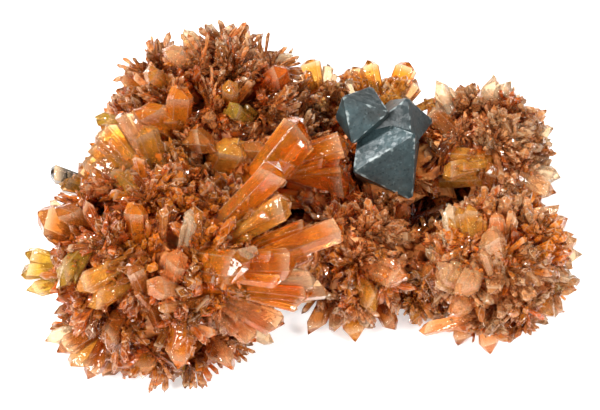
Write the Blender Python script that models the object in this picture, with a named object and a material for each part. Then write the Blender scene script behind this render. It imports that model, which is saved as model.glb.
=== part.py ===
"""Creedite cluster: sprays of orange prisms around a few centres, grown as one
piece, with a group of blue-grey fluorite octahedra seated among them and the
dark rock they grew on showing in the gaps and underneath.

The main crystals are set out in the plane of the picture: across and up in
picture pixels, with a depth toward the viewer in millimetres. The picture
looks down at the cluster from the front, so to_world turns such a place into
metres, +X right, +Y away, +Z up. The flat underside is at Z = 0.
"""

import math

import bmesh
import bpy
import numpy as np
from mathutils import Matrix, Vector

MM = 0.001

# How the picture looks at the cluster
PIXELS_PER_MM = 6.54
PICTURE_CENTRE = (300.0, 205.0)
LOOK_DOWN = math.radians(45.0)
AIM = Vector((-0.2, 0.1, 15.0))

# Sprays: centre in the picture, height of the centre over the floor (mm), radius to the
# crystal tips (mm), and number of plain crystals spread over the whole ball
SPRAYS = {
    "upper_left": ((214, 139), 14.5, 17.6, 50),
    "lower_left": ((162, 267), 15.0, 18.3, 54),
    "left_side": ((152, 188), 17.9, 11.0, 12),
    "fan_low": ((195, 262), 20.5, 13.0, 12),
    "fan_high": ((245, 172), 17.4, 10.0, 10),
    "middle_low": ((362, 262), 9.5, 11.5, 26),
    "centre": ((388, 205), 9.5, 9.4, 12),
    "between": ((328, 220), 9.5, 9.4, 10),
    "upper_middle": ((385, 122), 12.5, 9.6, 20),
    "behind": ((322, 112), 12.0, 8.5, 14),
    "upper_right": ((490, 147), 11.0, 11.3, 26),
    "right_gap": ((438, 166), 10.5, 9.4, 8),
    "lower_right": ((499, 265), 12.0, 13.0, 32),
    "low_gap": ((430, 270), 8.0, 9.2, 10),
    "recess": ((350, 158), 10.5, 8.0, 8),
}
CORE_SHARE = 0.82
CORE_DETAIL = 1

# Large crystals of each spray: root pixel, root depth, tip pixel, tip depth, width,
# thickness (mm), turn of the broad face away from the viewer (degrees). Depth is from the
# centre of the spray toward the viewer, in millimetres.
LARGE = {
    "upper_left": [
        ((178, 131), 11.0, (137, 107), 16.6, 4.8, 3.0, 10),
        ((178, 131), 11.0, (181, 87), 16.8, 4.2, 3.0, -10),
        ((183, 141), 12.0, (213, 141), 18.6, 4.4, 3.2, 20),
        ((205, 195), 8.0, (237, 141), 17.2, 5.6, 3.4, -15),
        ((246, 150), 9.0, (277, 152), 14.5, 3.2, 2.6, 30),
        ((250, 122), 10.0, (231, 109), 17.0, 2.6, 2.0, 0),
        ((228, 108), 10.0, (231, 85), 16.6, 2.8, 2.2, 15),
        ((168, 86), 9.0, (147, 72), 14.0, 2.8, 2.2, 20),
        ((188, 66), 8.0, (167, 48), 12.5, 3.2, 2.4, 10),
        ((262, 88), 6.0, (288, 68), 9.5, 4.0, 3.0, 25),
        ((128, 126), 7.0, (97, 118), 10.5, 2.4, 2.0, 40),
        ((270, 68), 0.0, (291, 52), 2.5, 1.8, 1.4, 0),
        ((214, 80), 3.0, (184, 27), 0.0, 2.0, 1.5, 0),
        ((214, 80), 0.0, (213, 22), 0.0, 2.2, 1.6, 30),
        ((214, 80), 0.0, (234, 22), -1.0, 2.6, 2.0, 0),
        ((224, 80), 0.0, (248, 22), 0.0, 2.2, 1.6, 30),
        ((150, 90), 2.0, (118, 78), 3.0, 2.6, 2.0, 0),
    ],
    "left_side": [
        ((146, 178), 0.0, (101, 127), 5.5, 4.4, 3.2, 10),
        ((156, 172), 1.0, (123, 113), 7.0, 3.0, 2.4, -30),
        ((162, 176), 2.0, (145, 127), 9.0, 3.8, 2.8, 0),
        ((140, 184), 0.0, (92, 142), 4.0, 3.8, 2.8, 25),
        ((134, 192), 0.0, (86, 158), 3.5, 3.2, 2.4, -20),
        ((152, 206), 4.0, (112, 174), 8.5, 3.2, 2.0, 5),
        ((120, 195), -1.0, (78, 166), 1.5, 3.0, 2.4, 20),
        ((84, 184), -3.0, (49, 172), -1.5, 2.8, 2.2, 0),
        ((96, 192), -2.0, (60, 184), 0.0, 2.6, 2.0, 10),
    ],
    "lower_left": [
        ((80, 232), 1.0, (38, 214), 3.5, 5.0, 3.0, 0),
        ((80, 225), 0.0, (50, 202), 1.0, 1.8, 1.4, 0),
        ((92, 228), 5.0, (60, 205), 8.5, 3.6, 2.8, 20),
        ((142, 240), 11.0, (137, 203), 15.5, 4.0, 2.8, 0),
        ((188, 240), 12.0, (194, 212), 18.0, 2.4, 1.8, 20),
        ((122, 266), 12.5, (78, 288), 15.6, 4.6, 3.0, -5),
        ((132, 281), 12.5, (90, 304), 15.0, 4.2, 2.6, 15),
        ((82, 256), 8.0, (59, 284), 11.0, 3.4, 2.6, 10),
        ((60, 262), 0.0, (26, 253), 1.5, 2.8, 2.2, 0),
        ((60, 270), 1.0, (22, 272), 2.5, 2.8, 2.2, 20),
        ((66, 282), 1.0, (28, 291), 2.0, 2.6, 2.0, 0),
        ((178, 288), 13.0, (155, 286), 19.6, 3.6, 3.0, 0),
        ((172, 284), 13.0, (181, 252), 19.4, 3.6, 2.8, 25),
        ((152, 300), 13.0, (135, 262), 18.6, 3.0, 2.4, -20),
        ((184, 318), 11.5, (178, 367), 10.6, 4.0, 3.0, 5),
        ((150, 345), 4.0, (146, 376), 6.2, 3.8, 3.0, 10),
        ((122, 316), 9.0, (107, 344), 12.4, 3.2, 2.6, 0),
        ((214, 335), 3.0, (231, 370), 4.4, 3.2, 2.4, -10),
        ((184, 362), -3.0, (191, 381), -2.0, 2.2, 1.8, 0),
        ((104, 350), 0.0, (88, 378), 1.0, 3.2, 2.4, 10),
        ((114, 366), -6.0, (105, 383), -5.5, 3.0, 2.4, 0),
        ((240, 325), 2.0, (275, 340), 3.0, 2.4, 1.8, 10),
        ((92, 322), -1.0, (46, 341), 0.0, 2.4, 1.8, 0),
    ],
    "fan_low": [
        ((204, 246), 4.0, (281, 167), 6.6, 4.8, 3.6, -28),
        ((212, 250), 4.5, (290, 203), 7.6, 4.2, 3.0, 15),
        ((206, 280), 3.5, (343, 227), 2.6, 4.4, 3.6, 24),
        ((220, 264), 5.0, (297, 263), 8.0, 5.0, 3.6, 10),
        ((236, 280), 4.5, (316, 279), 5.0, 3.0, 2.2, -12),
        ((220, 284), 3.0, (312, 295), 3.4, 4.2, 3.2, 12),
        ((250, 296), 1.5, (327, 288), 1.0, 3.0, 2.4, -10),
        ((222, 296), 2.0, (284, 324), 3.6, 3.6, 2.8, 10),
        ((214, 300), 2.0, (256, 340), 3.6, 3.4, 2.6, -10),
        ((208, 262), 6.0, (246, 268), 13.6, 5.4, 4.0, 0),
        ((256, 250), 10.0, (236, 257), 12.0, 2.2, 1.8, 10),
    ],
    "fan_high": [
        ((248, 196), 1.0, (307, 124), 8.0, 6.6, 4.0, -8),
        ((282, 163), 1.0, (347, 143), 4.6, 4.2, 3.6, 25),
        ((278, 166), 0.0, (353, 188), 2.4, 4.8, 3.8, -20),
        ((262, 196), 0.0, (318, 200), 1.0, 2.6, 2.0, 0),
    ],
    "middle_low": [
        ((372, 266), 5.0, (405, 280), 10.0, 4.2, 2.6, 5),
        ((362, 282), 6.0, (377, 310), 8.5, 3.0, 2.4, 0),
        ((330, 296), 0.0, (310, 336), 0.6, 2.8, 2.2, 0),
        ((336, 304), 0.0, (335, 332), 1.0, 2.2, 1.8, 20),
        ((352, 306), 0.0, (357, 342), 0.6, 3.8, 2.6, 0),
        ((378, 300), 0.0, (395, 330), 1.4, 3.0, 2.4, -15),
    ],
    "centre": [
        ((398, 222), 3.0, (409, 202), 7.0, 2.6, 1.8, 0),
        ((372, 205), 2.0, (366, 182), 4.0, 1.8, 1.4, 0),
    ],
    "upper_middle": [
        ((375, 108), 0.0, (355, 64), 1.4, 2.2, 1.8, 0),
        ((378, 104), 0.0, (367, 58), 0.6, 3.4, 2.4, 10),
        ((392, 104), 0.0, (410, 60), 0.8, 3.6, 2.6, -10),
        ((396, 108), 1.0, (419, 79), 2.0, 3.0, 2.2, 0),
        ((376, 110), 0.0, (346, 78), 0.0, 2.2, 1.8, 0),
    ],
    "behind": [
        ((318, 100), 0.0, (309, 57), 1.0, 3.4, 2.6, 0),
        ((322, 100), 0.0, (329, 62), 0.0, 2.0, 1.6, 20),
        ((310, 100), 1.0, (294, 69), 2.0, 2.4, 1.8, 0),
        ((322, 104), 1.0, (337, 84), 1.0, 2.0, 1.6, 0),
    ],
    "upper_right": [
        ((456, 118), 1.0, (437, 79), 1.6, 2.6, 2.0, 0),
        ((470, 118), 1.0, (446, 85), 0.0, 1.6, 1.2, 10),
        ((476, 116), 1.0, (462, 83), 1.0, 2.4, 1.8, 0),
        ((488, 112), 1.0, (494, 73), 1.2, 3.4, 2.4, 12),
        ((496, 112), 1.0, (513, 80), 0.6, 3.4, 2.4, -12),
        ((508, 124), 0.0, (538, 107), 1.0, 3.2, 2.4, 0),
        ((520, 140), 0.0, (557, 130), 1.0, 2.4, 1.8, 0),
        ((524, 168), 1.0, (563, 178), 2.0, 3.2, 2.4, 15),
        ((482, 158), 3.0, (420, 154), 6.0, 3.6, 3.0, 20),
        ((482, 176), 3.0, (419, 177), 4.4, 3.8, 3.0, -10),
        ((486, 163), 6.0, (443, 173), 10.6, 3.0, 2.2, 5),
        ((458, 136), 3.0, (427, 107), 4.0, 3.0, 2.4, 0),
        ((488, 190), 2.0, (494, 166), 9.5, 2.8, 2.0, 0),
        ((524, 182), 3.0, (537, 215), 7.0, 3.2, 2.6, 10),
    ],
    "lower_right": [
        ((466, 284), 6.0, (435, 270), 10.6, 3.8, 2.8, 10),
        ((436, 290), 1.0, (424, 264), 3.4, 3.0, 2.4, 0),
        ((474, 270), 8.0, (461, 295), 12.4, 3.8, 2.8, 15),
        ((470, 294), 5.0, (451, 315), 8.8, 3.4, 2.6, 0),
        ((482, 316), 2.0, (418, 330), 3.4, 2.2, 1.8, 10),
        ((487, 318), 1.0, (490, 354), 2.4, 3.4, 2.4, 0),
        ((526, 286), 1.0, (553, 316), 3.0, 2.8, 2.2, 0),
        ((536, 278), 0.0, (562, 289), 1.0, 2.2, 1.8, 0),
        ((540, 270), 0.0, (573, 277), 0.0, 2.4, 1.8, 20),
        ((544, 256), 0.0, (582, 254), 0.0, 2.6, 2.0, 0),
        ((540, 250), 1.0, (576, 238), 2.0, 2.6, 2.0, 10),
        ((454, 246), 5.0, (447, 203), 5.0, 2.8, 2.2, 10),
        ((466, 240), 5.0, (459, 206), 6.4, 2.8, 2.2, -10),
        ((474, 240), 5.0, (469, 203), 6.8, 3.2, 2.2, 0),
        ((498, 244), 6.0, (494, 211), 8.0, 2.6, 2.0, 20),
        ((494, 262), 9.0, (487, 228), 12.6, 4.2, 3.2, 0),
        ((464, 318), -1.0, (460, 346), 0.0, 2.8, 2.2, 0),
    ],
}

# Plain crystals
PLAIN_REACH = (0.93, 1.03)
PLAIN_WIDTH = (0.64, 0.88)
PLAIN_THICKNESS = (0.62, 0.9)
PLAIN_ROOT = 0.55
PLAIN_JITTER = 0.16
FLOOR_CLEARANCE = 0.8
# Tips are left out within these shares of another spray's radius and a fluorite's edge
CROWDING = 0.82
FLUORITE_CROWDING = 0.72
SEED = 11

# Shape of every prism: sections in shares of the width and thickness
SHOULDER = 0.28
SIX_SIDES = [
    (-0.5, 0.0),
    (-SHOULDER, 0.5),
    (SHOULDER, 0.5),
    (0.5, 0.0),
    (SHOULDER, -0.5),
    (-SHOULDER, -0.5),
]
FOUR_SIDES = [(-0.46, -0.42), (-0.46, 0.42), (0.46, 0.42), (0.46, -0.42)]
RIDGE_SHIFT = 0.22
GABLE_FALL = (0.45, 0.95)
RIDGE_SHARE = (0.35, 1.0)
ROOT_TAPER = 0.8
# Longest way (mm) that a large crystal's root runs back toward the spray's centre
ROOT_RUN = 9.0
# Width (mm) from which a large crystal is six-sided
SIX_SIDED_FROM = 3.5
# Length of a cross product under which two unit vectors count as parallel
PARALLEL = 0.05

# Fluorite octahedra: centre pixel, depth toward the viewer from the aim (mm), edge (mm),
# turn of the front face in the picture and its lean up or down (degrees)
FLUORITES = [
    ((362, 115), -0.8, 7.6, -19, -8),
    ((401, 124), -2.2, 7.8, -84, -14),
    ((386.5, 157), -2.0, 11.2, 31, -28),
]
CORNER_CUT = 0.07
# Longest distance between two joined corners, in edges: opposite corners are further apart
JOINED = 1.2
# Gap (mm) around the fluorite and the rock in the creedite
SEAT_GAP = 0.32

# Rock under and between the sprays, set out from the aim
ROCK_CENTRE = (6.0, 8.0)
ROCK_HALF = (29.0, 13.0, 6.4)
ROCK_DETAIL = 3
# Ripples that make the lump uneven: turns per metre along each axis, phase and height
ROCK_RIPPLES = [
    ((31.0, 12.0, 9.0), 0.4, 0.075),
    ((-17.0, 38.0, 22.0), 2.1, 0.060),
    ((44.0, 35.0, -40.0), 4.4, 0.045),
    ((-62.0, 51.0, 30.0), 1.2, 0.030),
]

# Block (m) that cuts the sprays flat at the floor
FLOOR_SIDE = 0.2
FLOOR_DEPTH = 0.1

# Base colour and roughness of each piece
FINISHES = {
    "creedite": ((0.62, 0.20, 0.055), 0.2),
    "fluorite": ((0.095, 0.165, 0.19), 0.3),
    "rock": ((0.045, 0.032, 0.018), 0.8),
    "cutter": ((0.5, 0.5, 0.5), 0.5),
}


def clear_scene():
    """Empty the scene that the script starts in."""
    for old in list(bpy.data.objects):
        bpy.data.objects.remove(old)


def plain_material(name):
    """A Principled material with one of the finishes."""
    colour, roughness = FINISHES[name]
    made = bpy.data.materials.new(name)
    made.use_nodes = True
    shader = made.node_tree.nodes["Principled BSDF"]
    shader.inputs["Base Color"].default_value = (*colour, 1.0)
    shader.inputs["Roughness"].default_value = roughness
    shader.inputs["Metallic"].default_value = 0.0
    return made


VIEW_RIGHT = Vector((1.0, 0.0, 0.0))
VIEW_UP = Vector((0.0, math.sin(LOOK_DOWN), math.cos(LOOK_DOWN)))
TO_VIEWER = Vector((0.0, -math.cos(LOOK_DOWN), math.sin(LOOK_DOWN)))


def to_world(pixel, depth):
    """The place (mm) at a picture pixel, depth mm toward the viewer from the aim."""
    across = (pixel[0] - PICTURE_CENTRE[0]) / PIXELS_PER_MM
    up = (PICTURE_CENTRE[1] - pixel[1]) / PIXELS_PER_MM
    return AIM + VIEW_RIGHT * across + VIEW_UP * up + TO_VIEWER * depth


def depth_at_height(pixel, height):
    """The depth at which the line of sight through a pixel is at a height (mm)."""
    start = to_world(pixel, 0.0)
    return (height - start.z) / TO_VIEWER.z


def spray_place(name):
    """Centre (mm), depth of the centre and radius of a spray."""
    pixel, height, radius, _ = SPRAYS[name]
    depth = depth_at_height(pixel, height)
    return to_world(pixel, depth), depth, radius


def cross_axes(axis, facing, turn):
    """The width and thickness directions of a prism, its broad face turned from facing."""
    side = axis.cross(facing)
    if side.length < PARALLEL:
        side = axis.cross(VIEW_UP)
    side.normalize()
    front = side.cross(axis)
    front.normalize()
    angle = math.radians(turn)
    width_way = side * math.cos(angle) + front * math.sin(angle)
    return width_way, axis.cross(width_way)


def add_prism(mesh, section, root, tip, width, thickness, axes, shape):
    """A closed prism from root to tip: a flattened section that widens a little to its
    shoulder, and two gable faces that meet in a ridge across the thickness."""
    axis = (tip - root).normalized()
    length = (tip - root).length
    shift, fall_left, fall_right, ridge = shape
    wide, thick = axes
    ridge_x = shift * width * 0.5
    points = []
    for x_share, y_share in section:
        x = x_share * width
        y = y_share * thickness
        fall = fall_left if x < ridge_x else fall_right
        height = length - fall * abs(x - ridge_x)
        points.append(root + wide * x * ROOT_TAPER + thick * y * ROOT_TAPER)
        points.append(root + wide * x + thick * y + axis * height)
    half_ridge = thickness * ridge * max(y for _, y in section)
    for side in (-1.0, 1.0):
        points.append(tip + wide * ridge_x + thick * side * half_ridge)
    corners = [mesh.verts.new(p * MM) for p in points]
    bmesh.ops.convex_hull(mesh, input=corners)


def prism_shape(rng):
    """Ridge shift, the two gable slopes and the share of the thickness the ridge spans."""
    return (
        rng.uniform(-RIDGE_SHIFT, RIDGE_SHIFT),
        rng.uniform(*GABLE_FALL),
        rng.uniform(*GABLE_FALL),
        rng.uniform(*RIDGE_SHARE),
    )


def add_four_sided(mesh, prism):
    """A prism of the four-sided section, its ridge across the whole thickness."""
    *place, (shift, fall_left, fall_right, _) = prism
    add_prism(mesh, FOUR_SIDES, *place, (shift, fall_left, fall_right, 1.0))


def large_prisms():
    """Every large crystal: root, tip, width, thickness, axes and shape, in millimetres."""
    rng = np.random.default_rng(SEED)
    made = []
    for name, rows in LARGE.items():
        centre, base, _ = spray_place(name)
        for root_px, root_depth, tip_px, tip_depth, width, thickness, turn in rows:
            root = to_world(root_px, base + root_depth)
            tip = to_world(tip_px, base + tip_depth)
            axis = (tip - root).normalized()
            run = min(max((root - centre).dot(axis), 0.0), ROOT_RUN)
            axes = cross_axes(axis, TO_VIEWER, turn)
            made.append((root - axis * run, tip, width, thickness, axes, prism_shape(rng)))
    return made


def even_directions(count):
    """Unit vectors spread evenly over a ball, along a spiral from pole to pole."""
    golden = math.pi * (3.0 - math.sqrt(5.0))
    for k in range(count):
        z = 1.0 - 2.0 * (k + 0.5) / count
        ring = math.sqrt(1.0 - z * z)
        yield Vector((ring * math.cos(golden * k), ring * math.sin(golden * k), z))


def is_crowded(tip, width, own, large):
    """True where another spray, a large crystal or the fluorite takes the tip's place."""
    if tip.z < FLOOR_CLEARANCE:
        return True
    for name in SPRAYS:
        centre, _, radius = spray_place(name)
        if name != own and (tip - centre).length < CROWDING * radius:
            return True
    for root, end, wide, _, _, _ in large:
        along = (end - root).normalized()
        reach = min(max((tip - root).dot(along), 0.0), (end - root).length)
        if (tip - root - along * reach).length < 0.5 * (wide + width):
            return True
    for pixel, depth, edge, _, _ in FLUORITES:
        if (tip - to_world(pixel, depth)).length < FLUORITE_CROWDING * edge:
            return True
    return False


def plain_prisms(large):
    """The other crystals that stand out of the sprays, spread evenly with some disorder."""
    rng = np.random.default_rng(SEED + 1)
    made = []
    for name, (_, _, _, count) in SPRAYS.items():
        centre, _, radius = spray_place(name)
        for way in even_directions(count):
            way = (way + Vector(rng.normal(0.0, PLAIN_JITTER, 3))).normalized()
            reach = radius * rng.uniform(*PLAIN_REACH)
            width = math.sqrt(radius) * rng.uniform(*PLAIN_WIDTH)
            thickness = width * rng.uniform(*PLAIN_THICKNESS)
            turn = rng.uniform(0.0, 180.0)
            shape = prism_shape(rng)
            tip = centre + way * reach
            if is_crowded(tip, width, name, large):
                continue
            root = centre + way * radius * PLAIN_ROOT
            made.append((root, tip, width, thickness, cross_axes(way, TO_VIEWER, turn), shape))
    return made


def new_object(name, mesh, material):
    """A scene object from a bmesh, which is freed."""
    data = bpy.data.meshes.new(name)
    bmesh.ops.recalc_face_normals(mesh, faces=mesh.faces)
    mesh.to_mesh(data)
    mesh.free()
    data.materials.append(material)
    made = bpy.data.objects.new(name, data)
    bpy.context.scene.collection.objects.link(made)
    return made


def hidden_cutter(name, mesh):
    """A closed shape that only cuts others."""
    cutter = new_object(name, mesh, plain_material("cutter"))
    cutter.display_type = "WIRE"
    cutter.hide_render = True
    return cutter


def cut_away(target, cutter, join_own_parts):
    """Cut a shape out of a solid, joining the solid's own overlapping parts if asked."""
    step = target.modifiers.new("cut " + cutter.name, "BOOLEAN")
    step.operation = "DIFFERENCE"
    step.solver = "EXACT"
    step.object = cutter
    step.use_self = join_own_parts


def add_octahedron(mesh, row, grow):
    """An octahedron with its front face toward the viewer and its corners cut a little."""
    pixel, depth, edge, turn, lean = row
    centre = to_world(pixel, depth)
    lean = math.radians(lean)
    upright = Matrix.Rotation(math.radians(turn), 3, TO_VIEWER) @ VIEW_UP
    front = TO_VIEWER * math.cos(lean) + upright * math.sin(lean)
    up = upright * math.cos(lean) - TO_VIEWER * math.sin(lean)
    side = up.cross(front)
    inner = edge / math.sqrt(6.0)
    outer = edge / math.sqrt(3.0)
    corners = []
    for layer, start in ((1.0, 180.0), (-1.0, 0.0)):
        for k in range(3):
            angle = math.radians(start + 120.0 * k)
            around = up * math.cos(angle) + side * math.sin(angle)
            corners.append(around * outer + front * layer * inner)
    scale = 1.0 + grow / inner
    points = []
    for a in corners:
        for b in corners:
            if a is not b and (a - b).length < JOINED * edge:
                points.append(centre + (a + (b - a) * CORNER_CUT) * scale)
    bmesh.ops.convex_hull(mesh, input=[mesh.verts.new(p * MM) for p in points])


def fluorite_mesh(grow):
    """All octahedra in one mesh, each grown outward by a distance (mm)."""
    mesh = bmesh.new()
    for row in FLUORITES:
        add_octahedron(mesh, row, grow)
    return mesh


def rock_swell(place):
    """One plus a few sine ripples of the place (mm)."""
    swell = 1.0
    for turns, phase, height in ROCK_RIPPLES:
        swell += height * math.sin(math.tau * MM * place.dot(Vector(turns)) + phase)
    return swell


def rock_mesh(grow):
    """A low lump of rock, flat underneath, grown outward by a distance (mm)."""
    mesh = bmesh.new()
    middle = Vector((AIM.x + ROCK_CENTRE[0], AIM.y + ROCK_CENTRE[1], 0.0))
    bmesh.ops.create_icosphere(mesh, subdivisions=ROCK_DETAIL, radius=1.0)
    for vert in mesh.verts:
        place = Vector([vert.co[k] * ROCK_HALF[k] for k in range(3)])
        place = place * rock_swell(place) + vert.co.normalized() * grow
        vert.co = (place + middle) * MM
    everything = list(mesh.verts) + list(mesh.edges) + list(mesh.faces)
    floor = -grow * MM
    bmesh.ops.bisect_plane(
        mesh, geom=everything, plane_co=(0, 0, floor), plane_no=(0, 0, 1), clear_inner=True
    )
    rim = [e for e in mesh.edges if e.is_boundary]
    bmesh.ops.contextual_create(mesh, geom=rim)
    return mesh


def floor_mesh():
    """A block under the floor, which cuts the sprays flat at Z = 0."""
    mesh = bmesh.new()
    size = Matrix.Diagonal((FLOOR_SIDE, FLOOR_SIDE, FLOOR_DEPTH, 1.0))
    place = Matrix.Translation((0.0, 0.0, -0.5 * FLOOR_DEPTH))
    bmesh.ops.create_cube(mesh, size=1.0, matrix=place @ size)
    return mesh


def make_creedite():
    """The sprays as one solid."""
    mesh = bmesh.new()
    for name in SPRAYS:
        centre, _, radius = spray_place(name)
        place = Matrix.Translation(centre * MM)
        size = radius * CORE_SHARE * MM
        bmesh.ops.create_icosphere(mesh, subdivisions=CORE_DETAIL, radius=size, matrix=place)
    large = large_prisms()
    for prism in large:
        if prism[2] > SIX_SIDED_FROM:
            add_prism(mesh, SIX_SIDES, *prism)
        else:
            add_four_sided(mesh, prism)
    for prism in plain_prisms(large):
        add_four_sided(mesh, prism)
    return new_object("creedite_cluster", mesh, plain_material("creedite"))


def make_fluorite():
    """The intergrown octahedra as one solid."""
    return new_object("fluorite_crystals", fluorite_mesh(0.0), plain_material("fluorite"))


def make_rock():
    """The rock that the sprays grew on."""
    return new_object("matrix_rock", rock_mesh(0.0), plain_material("rock"))


def main():
    """Build the three pieces and cut them clear of each other."""
    clear_scene()
    creedite = make_creedite()
    fluorite = make_fluorite()
    make_rock()
    floor = hidden_cutter("floor cutter", floor_mesh())
    seat = hidden_cutter("fluorite cutter", fluorite_mesh(SEAT_GAP))
    bed = hidden_cutter("rock cutter", rock_mesh(SEAT_GAP))
    cut_away(creedite, floor, True)
    cut_away(creedite, seat, False)
    cut_away(creedite, bed, False)
    cut_away(fluorite, floor, True)


main()
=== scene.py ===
"""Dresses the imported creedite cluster: large and small translucent prisms, druse, etched
fluorite octahedra and the dark rock, with the floor, the light and the camera.

Places are set out as in the part's source: a picture pixel and a depth toward the
viewer give a place in millimetres, and the meshes are in metres. Crystals are worked out
in whole arrays, one row for each crystal. Every random draw is seeded.
"""

import math

import bpy
import numpy as np
from bpy.props import FloatProperty, FloatVectorProperty, IntProperty, PointerProperty
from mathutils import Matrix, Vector


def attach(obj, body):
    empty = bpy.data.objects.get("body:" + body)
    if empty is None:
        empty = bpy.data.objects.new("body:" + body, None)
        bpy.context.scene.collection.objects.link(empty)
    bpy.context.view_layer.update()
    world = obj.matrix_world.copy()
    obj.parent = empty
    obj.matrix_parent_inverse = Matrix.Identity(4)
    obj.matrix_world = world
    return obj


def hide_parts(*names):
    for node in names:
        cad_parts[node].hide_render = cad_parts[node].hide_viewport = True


bl_info = {
    "name": "Creedite cluster",
    "version": (1, 0, 0),
    "blender": (4, 5, 0),
    "location": "View3D > Sidebar > Creedite",
    "description": "Crystals, rock and stage of a creedite and fluorite specimen",
    "category": "Object",
}

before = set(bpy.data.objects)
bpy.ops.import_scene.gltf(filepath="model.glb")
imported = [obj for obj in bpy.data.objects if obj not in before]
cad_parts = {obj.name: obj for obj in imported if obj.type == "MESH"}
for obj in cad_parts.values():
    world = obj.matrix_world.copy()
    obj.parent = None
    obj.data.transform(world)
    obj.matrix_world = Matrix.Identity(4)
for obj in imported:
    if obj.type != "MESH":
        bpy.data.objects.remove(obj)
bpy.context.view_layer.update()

MM = 0.001

# How the picture looks at the cluster, as in the part's source
PIXELS_PER_MM = 6.54
PICTURE_CENTRE = np.array([300.0, 205.0])
PICTURE_WIDTH = 600
LOOK_DOWN = math.radians(45.0)
AIM = np.array([-0.2, 0.1, 15.0])
VIEW_RIGHT = np.array([1.0, 0.0, 0.0])
VIEW_UP = np.array([0.0, math.sin(LOOK_DOWN), math.cos(LOOK_DOWN)])
TO_VIEWER = np.array([0.0, -math.cos(LOOK_DOWN), math.sin(LOOK_DOWN)])

# Crystal tones, named by the sprays and by the large crystals
TONES = {
    "orange": (0.95, 0.31, 0.022),
    "deep": (0.93, 0.21, 0.018),
    "salmon": (0.99, 0.40, 0.12),
    "peach": (0.99, 0.54, 0.23),
    "gold": (0.92, 0.43, 0.055),
    "amber": (0.88, 0.36, 0.04),
    "olive": (0.70, 0.44, 0.05),
    "brown": (0.66, 0.22, 0.035),
    "clear": (0.99, 0.78, 0.50),
    "smoke": (0.10, 0.08, 0.06),
}

# How the tone drifts over a spray: height of the ripple, the tone at a star's middle and
# its rise to the rim, waves per mm and steps of the ripple, how much of a tone is a
# crystal's own, its darkest and lightest factor, and the most that a tone may reach
TONE_DRIFT = 0.8
TONE_START = 0.25
TONE_RISE = 0.36
TONE_TURNS = 0.06
TONE_STEPS = 2
TONE_JITTER = 0.18
TONE_LIGHT = (0.46, 1.04)
TONE_TOP = 0.95

# Sprays: centre pixel, height of the centre (mm), radius to the tips (mm), number of plain
# crystals as in the part's source, width of the small crystals (mm), the reach of these and
# of the druse over the radius, and the tones from a star's middle to its rim
SPRAYS = {
    "upper_left": ((214, 139), 14.5, 17.6, 50, 0.95, 0.98, "deep brown brown salmon salmon peach"),
    "lower_left": (
        (162, 267), 15.0, 18.3, 54, 1.6, 0.97, "brown deep brown orange brown deep salmon"
    ),
    "left_side": ((152, 188), 17.9, 11.0, 12, 1.9, 0.88, "amber amber gold gold"),
    "fan_low": ((195, 262), 20.5, 13.0, 12, 1.9, 0.90, "deep orange orange orange salmon"),
    "fan_high": ((245, 172), 17.4, 10.0, 10, 1.7, 0.84, "brown deep brown orange"),
    "middle_low": ((362, 262), 9.5, 11.5, 26, 1.3, 0.90, "deep orange salmon salmon peach"),
    "centre": ((388, 205), 9.5, 9.4, 12, 1.1, 0.95, "deep brown salmon peach"),
    "between": ((328, 220), 9.5, 9.4, 10, 1.1, 0.95, "brown deep salmon"),
    "upper_middle": ((385, 122), 12.5, 9.6, 20, 1.4, 0.56, "amber orange gold clear"),
    "behind": ((322, 112), 12.0, 8.5, 14, 1.4, 0.64, "amber salmon gold clear"),
    "upper_right": ((490, 147), 11.0, 11.3, 26, 1.2, 0.85, "deep salmon salmon peach peach"),
    "right_gap": ((438, 166), 10.5, 9.4, 8, 1.3, 0.90, "brown brown brown deep"),
    "lower_right": ((499, 265), 12.0, 13.0, 32, 1.35, 0.88, "deep orange salmon peach peach"),
    "low_gap": ((430, 270), 8.0, 9.2, 10, 1.3, 0.90, "brown amber salmon"),
    "recess": ((350, 158), 10.5, 8.0, 8, 1.2, 0.90, "brown deep brown"),
}

# Druse under the prisms: its radius over the spray's; height, waves per mm and steps of its
# lumps; how far behind the spray's middle its hollows begin, over the radius; lowest z (mm)
CORE_SHARE = 0.68
CORE_SWELL = 0.05
CORE_TURNS = 0.25
CORE_STEPS = 3
CORE_PITS_FROM = 0.4
CORE_FLOOR = 0.05

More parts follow.
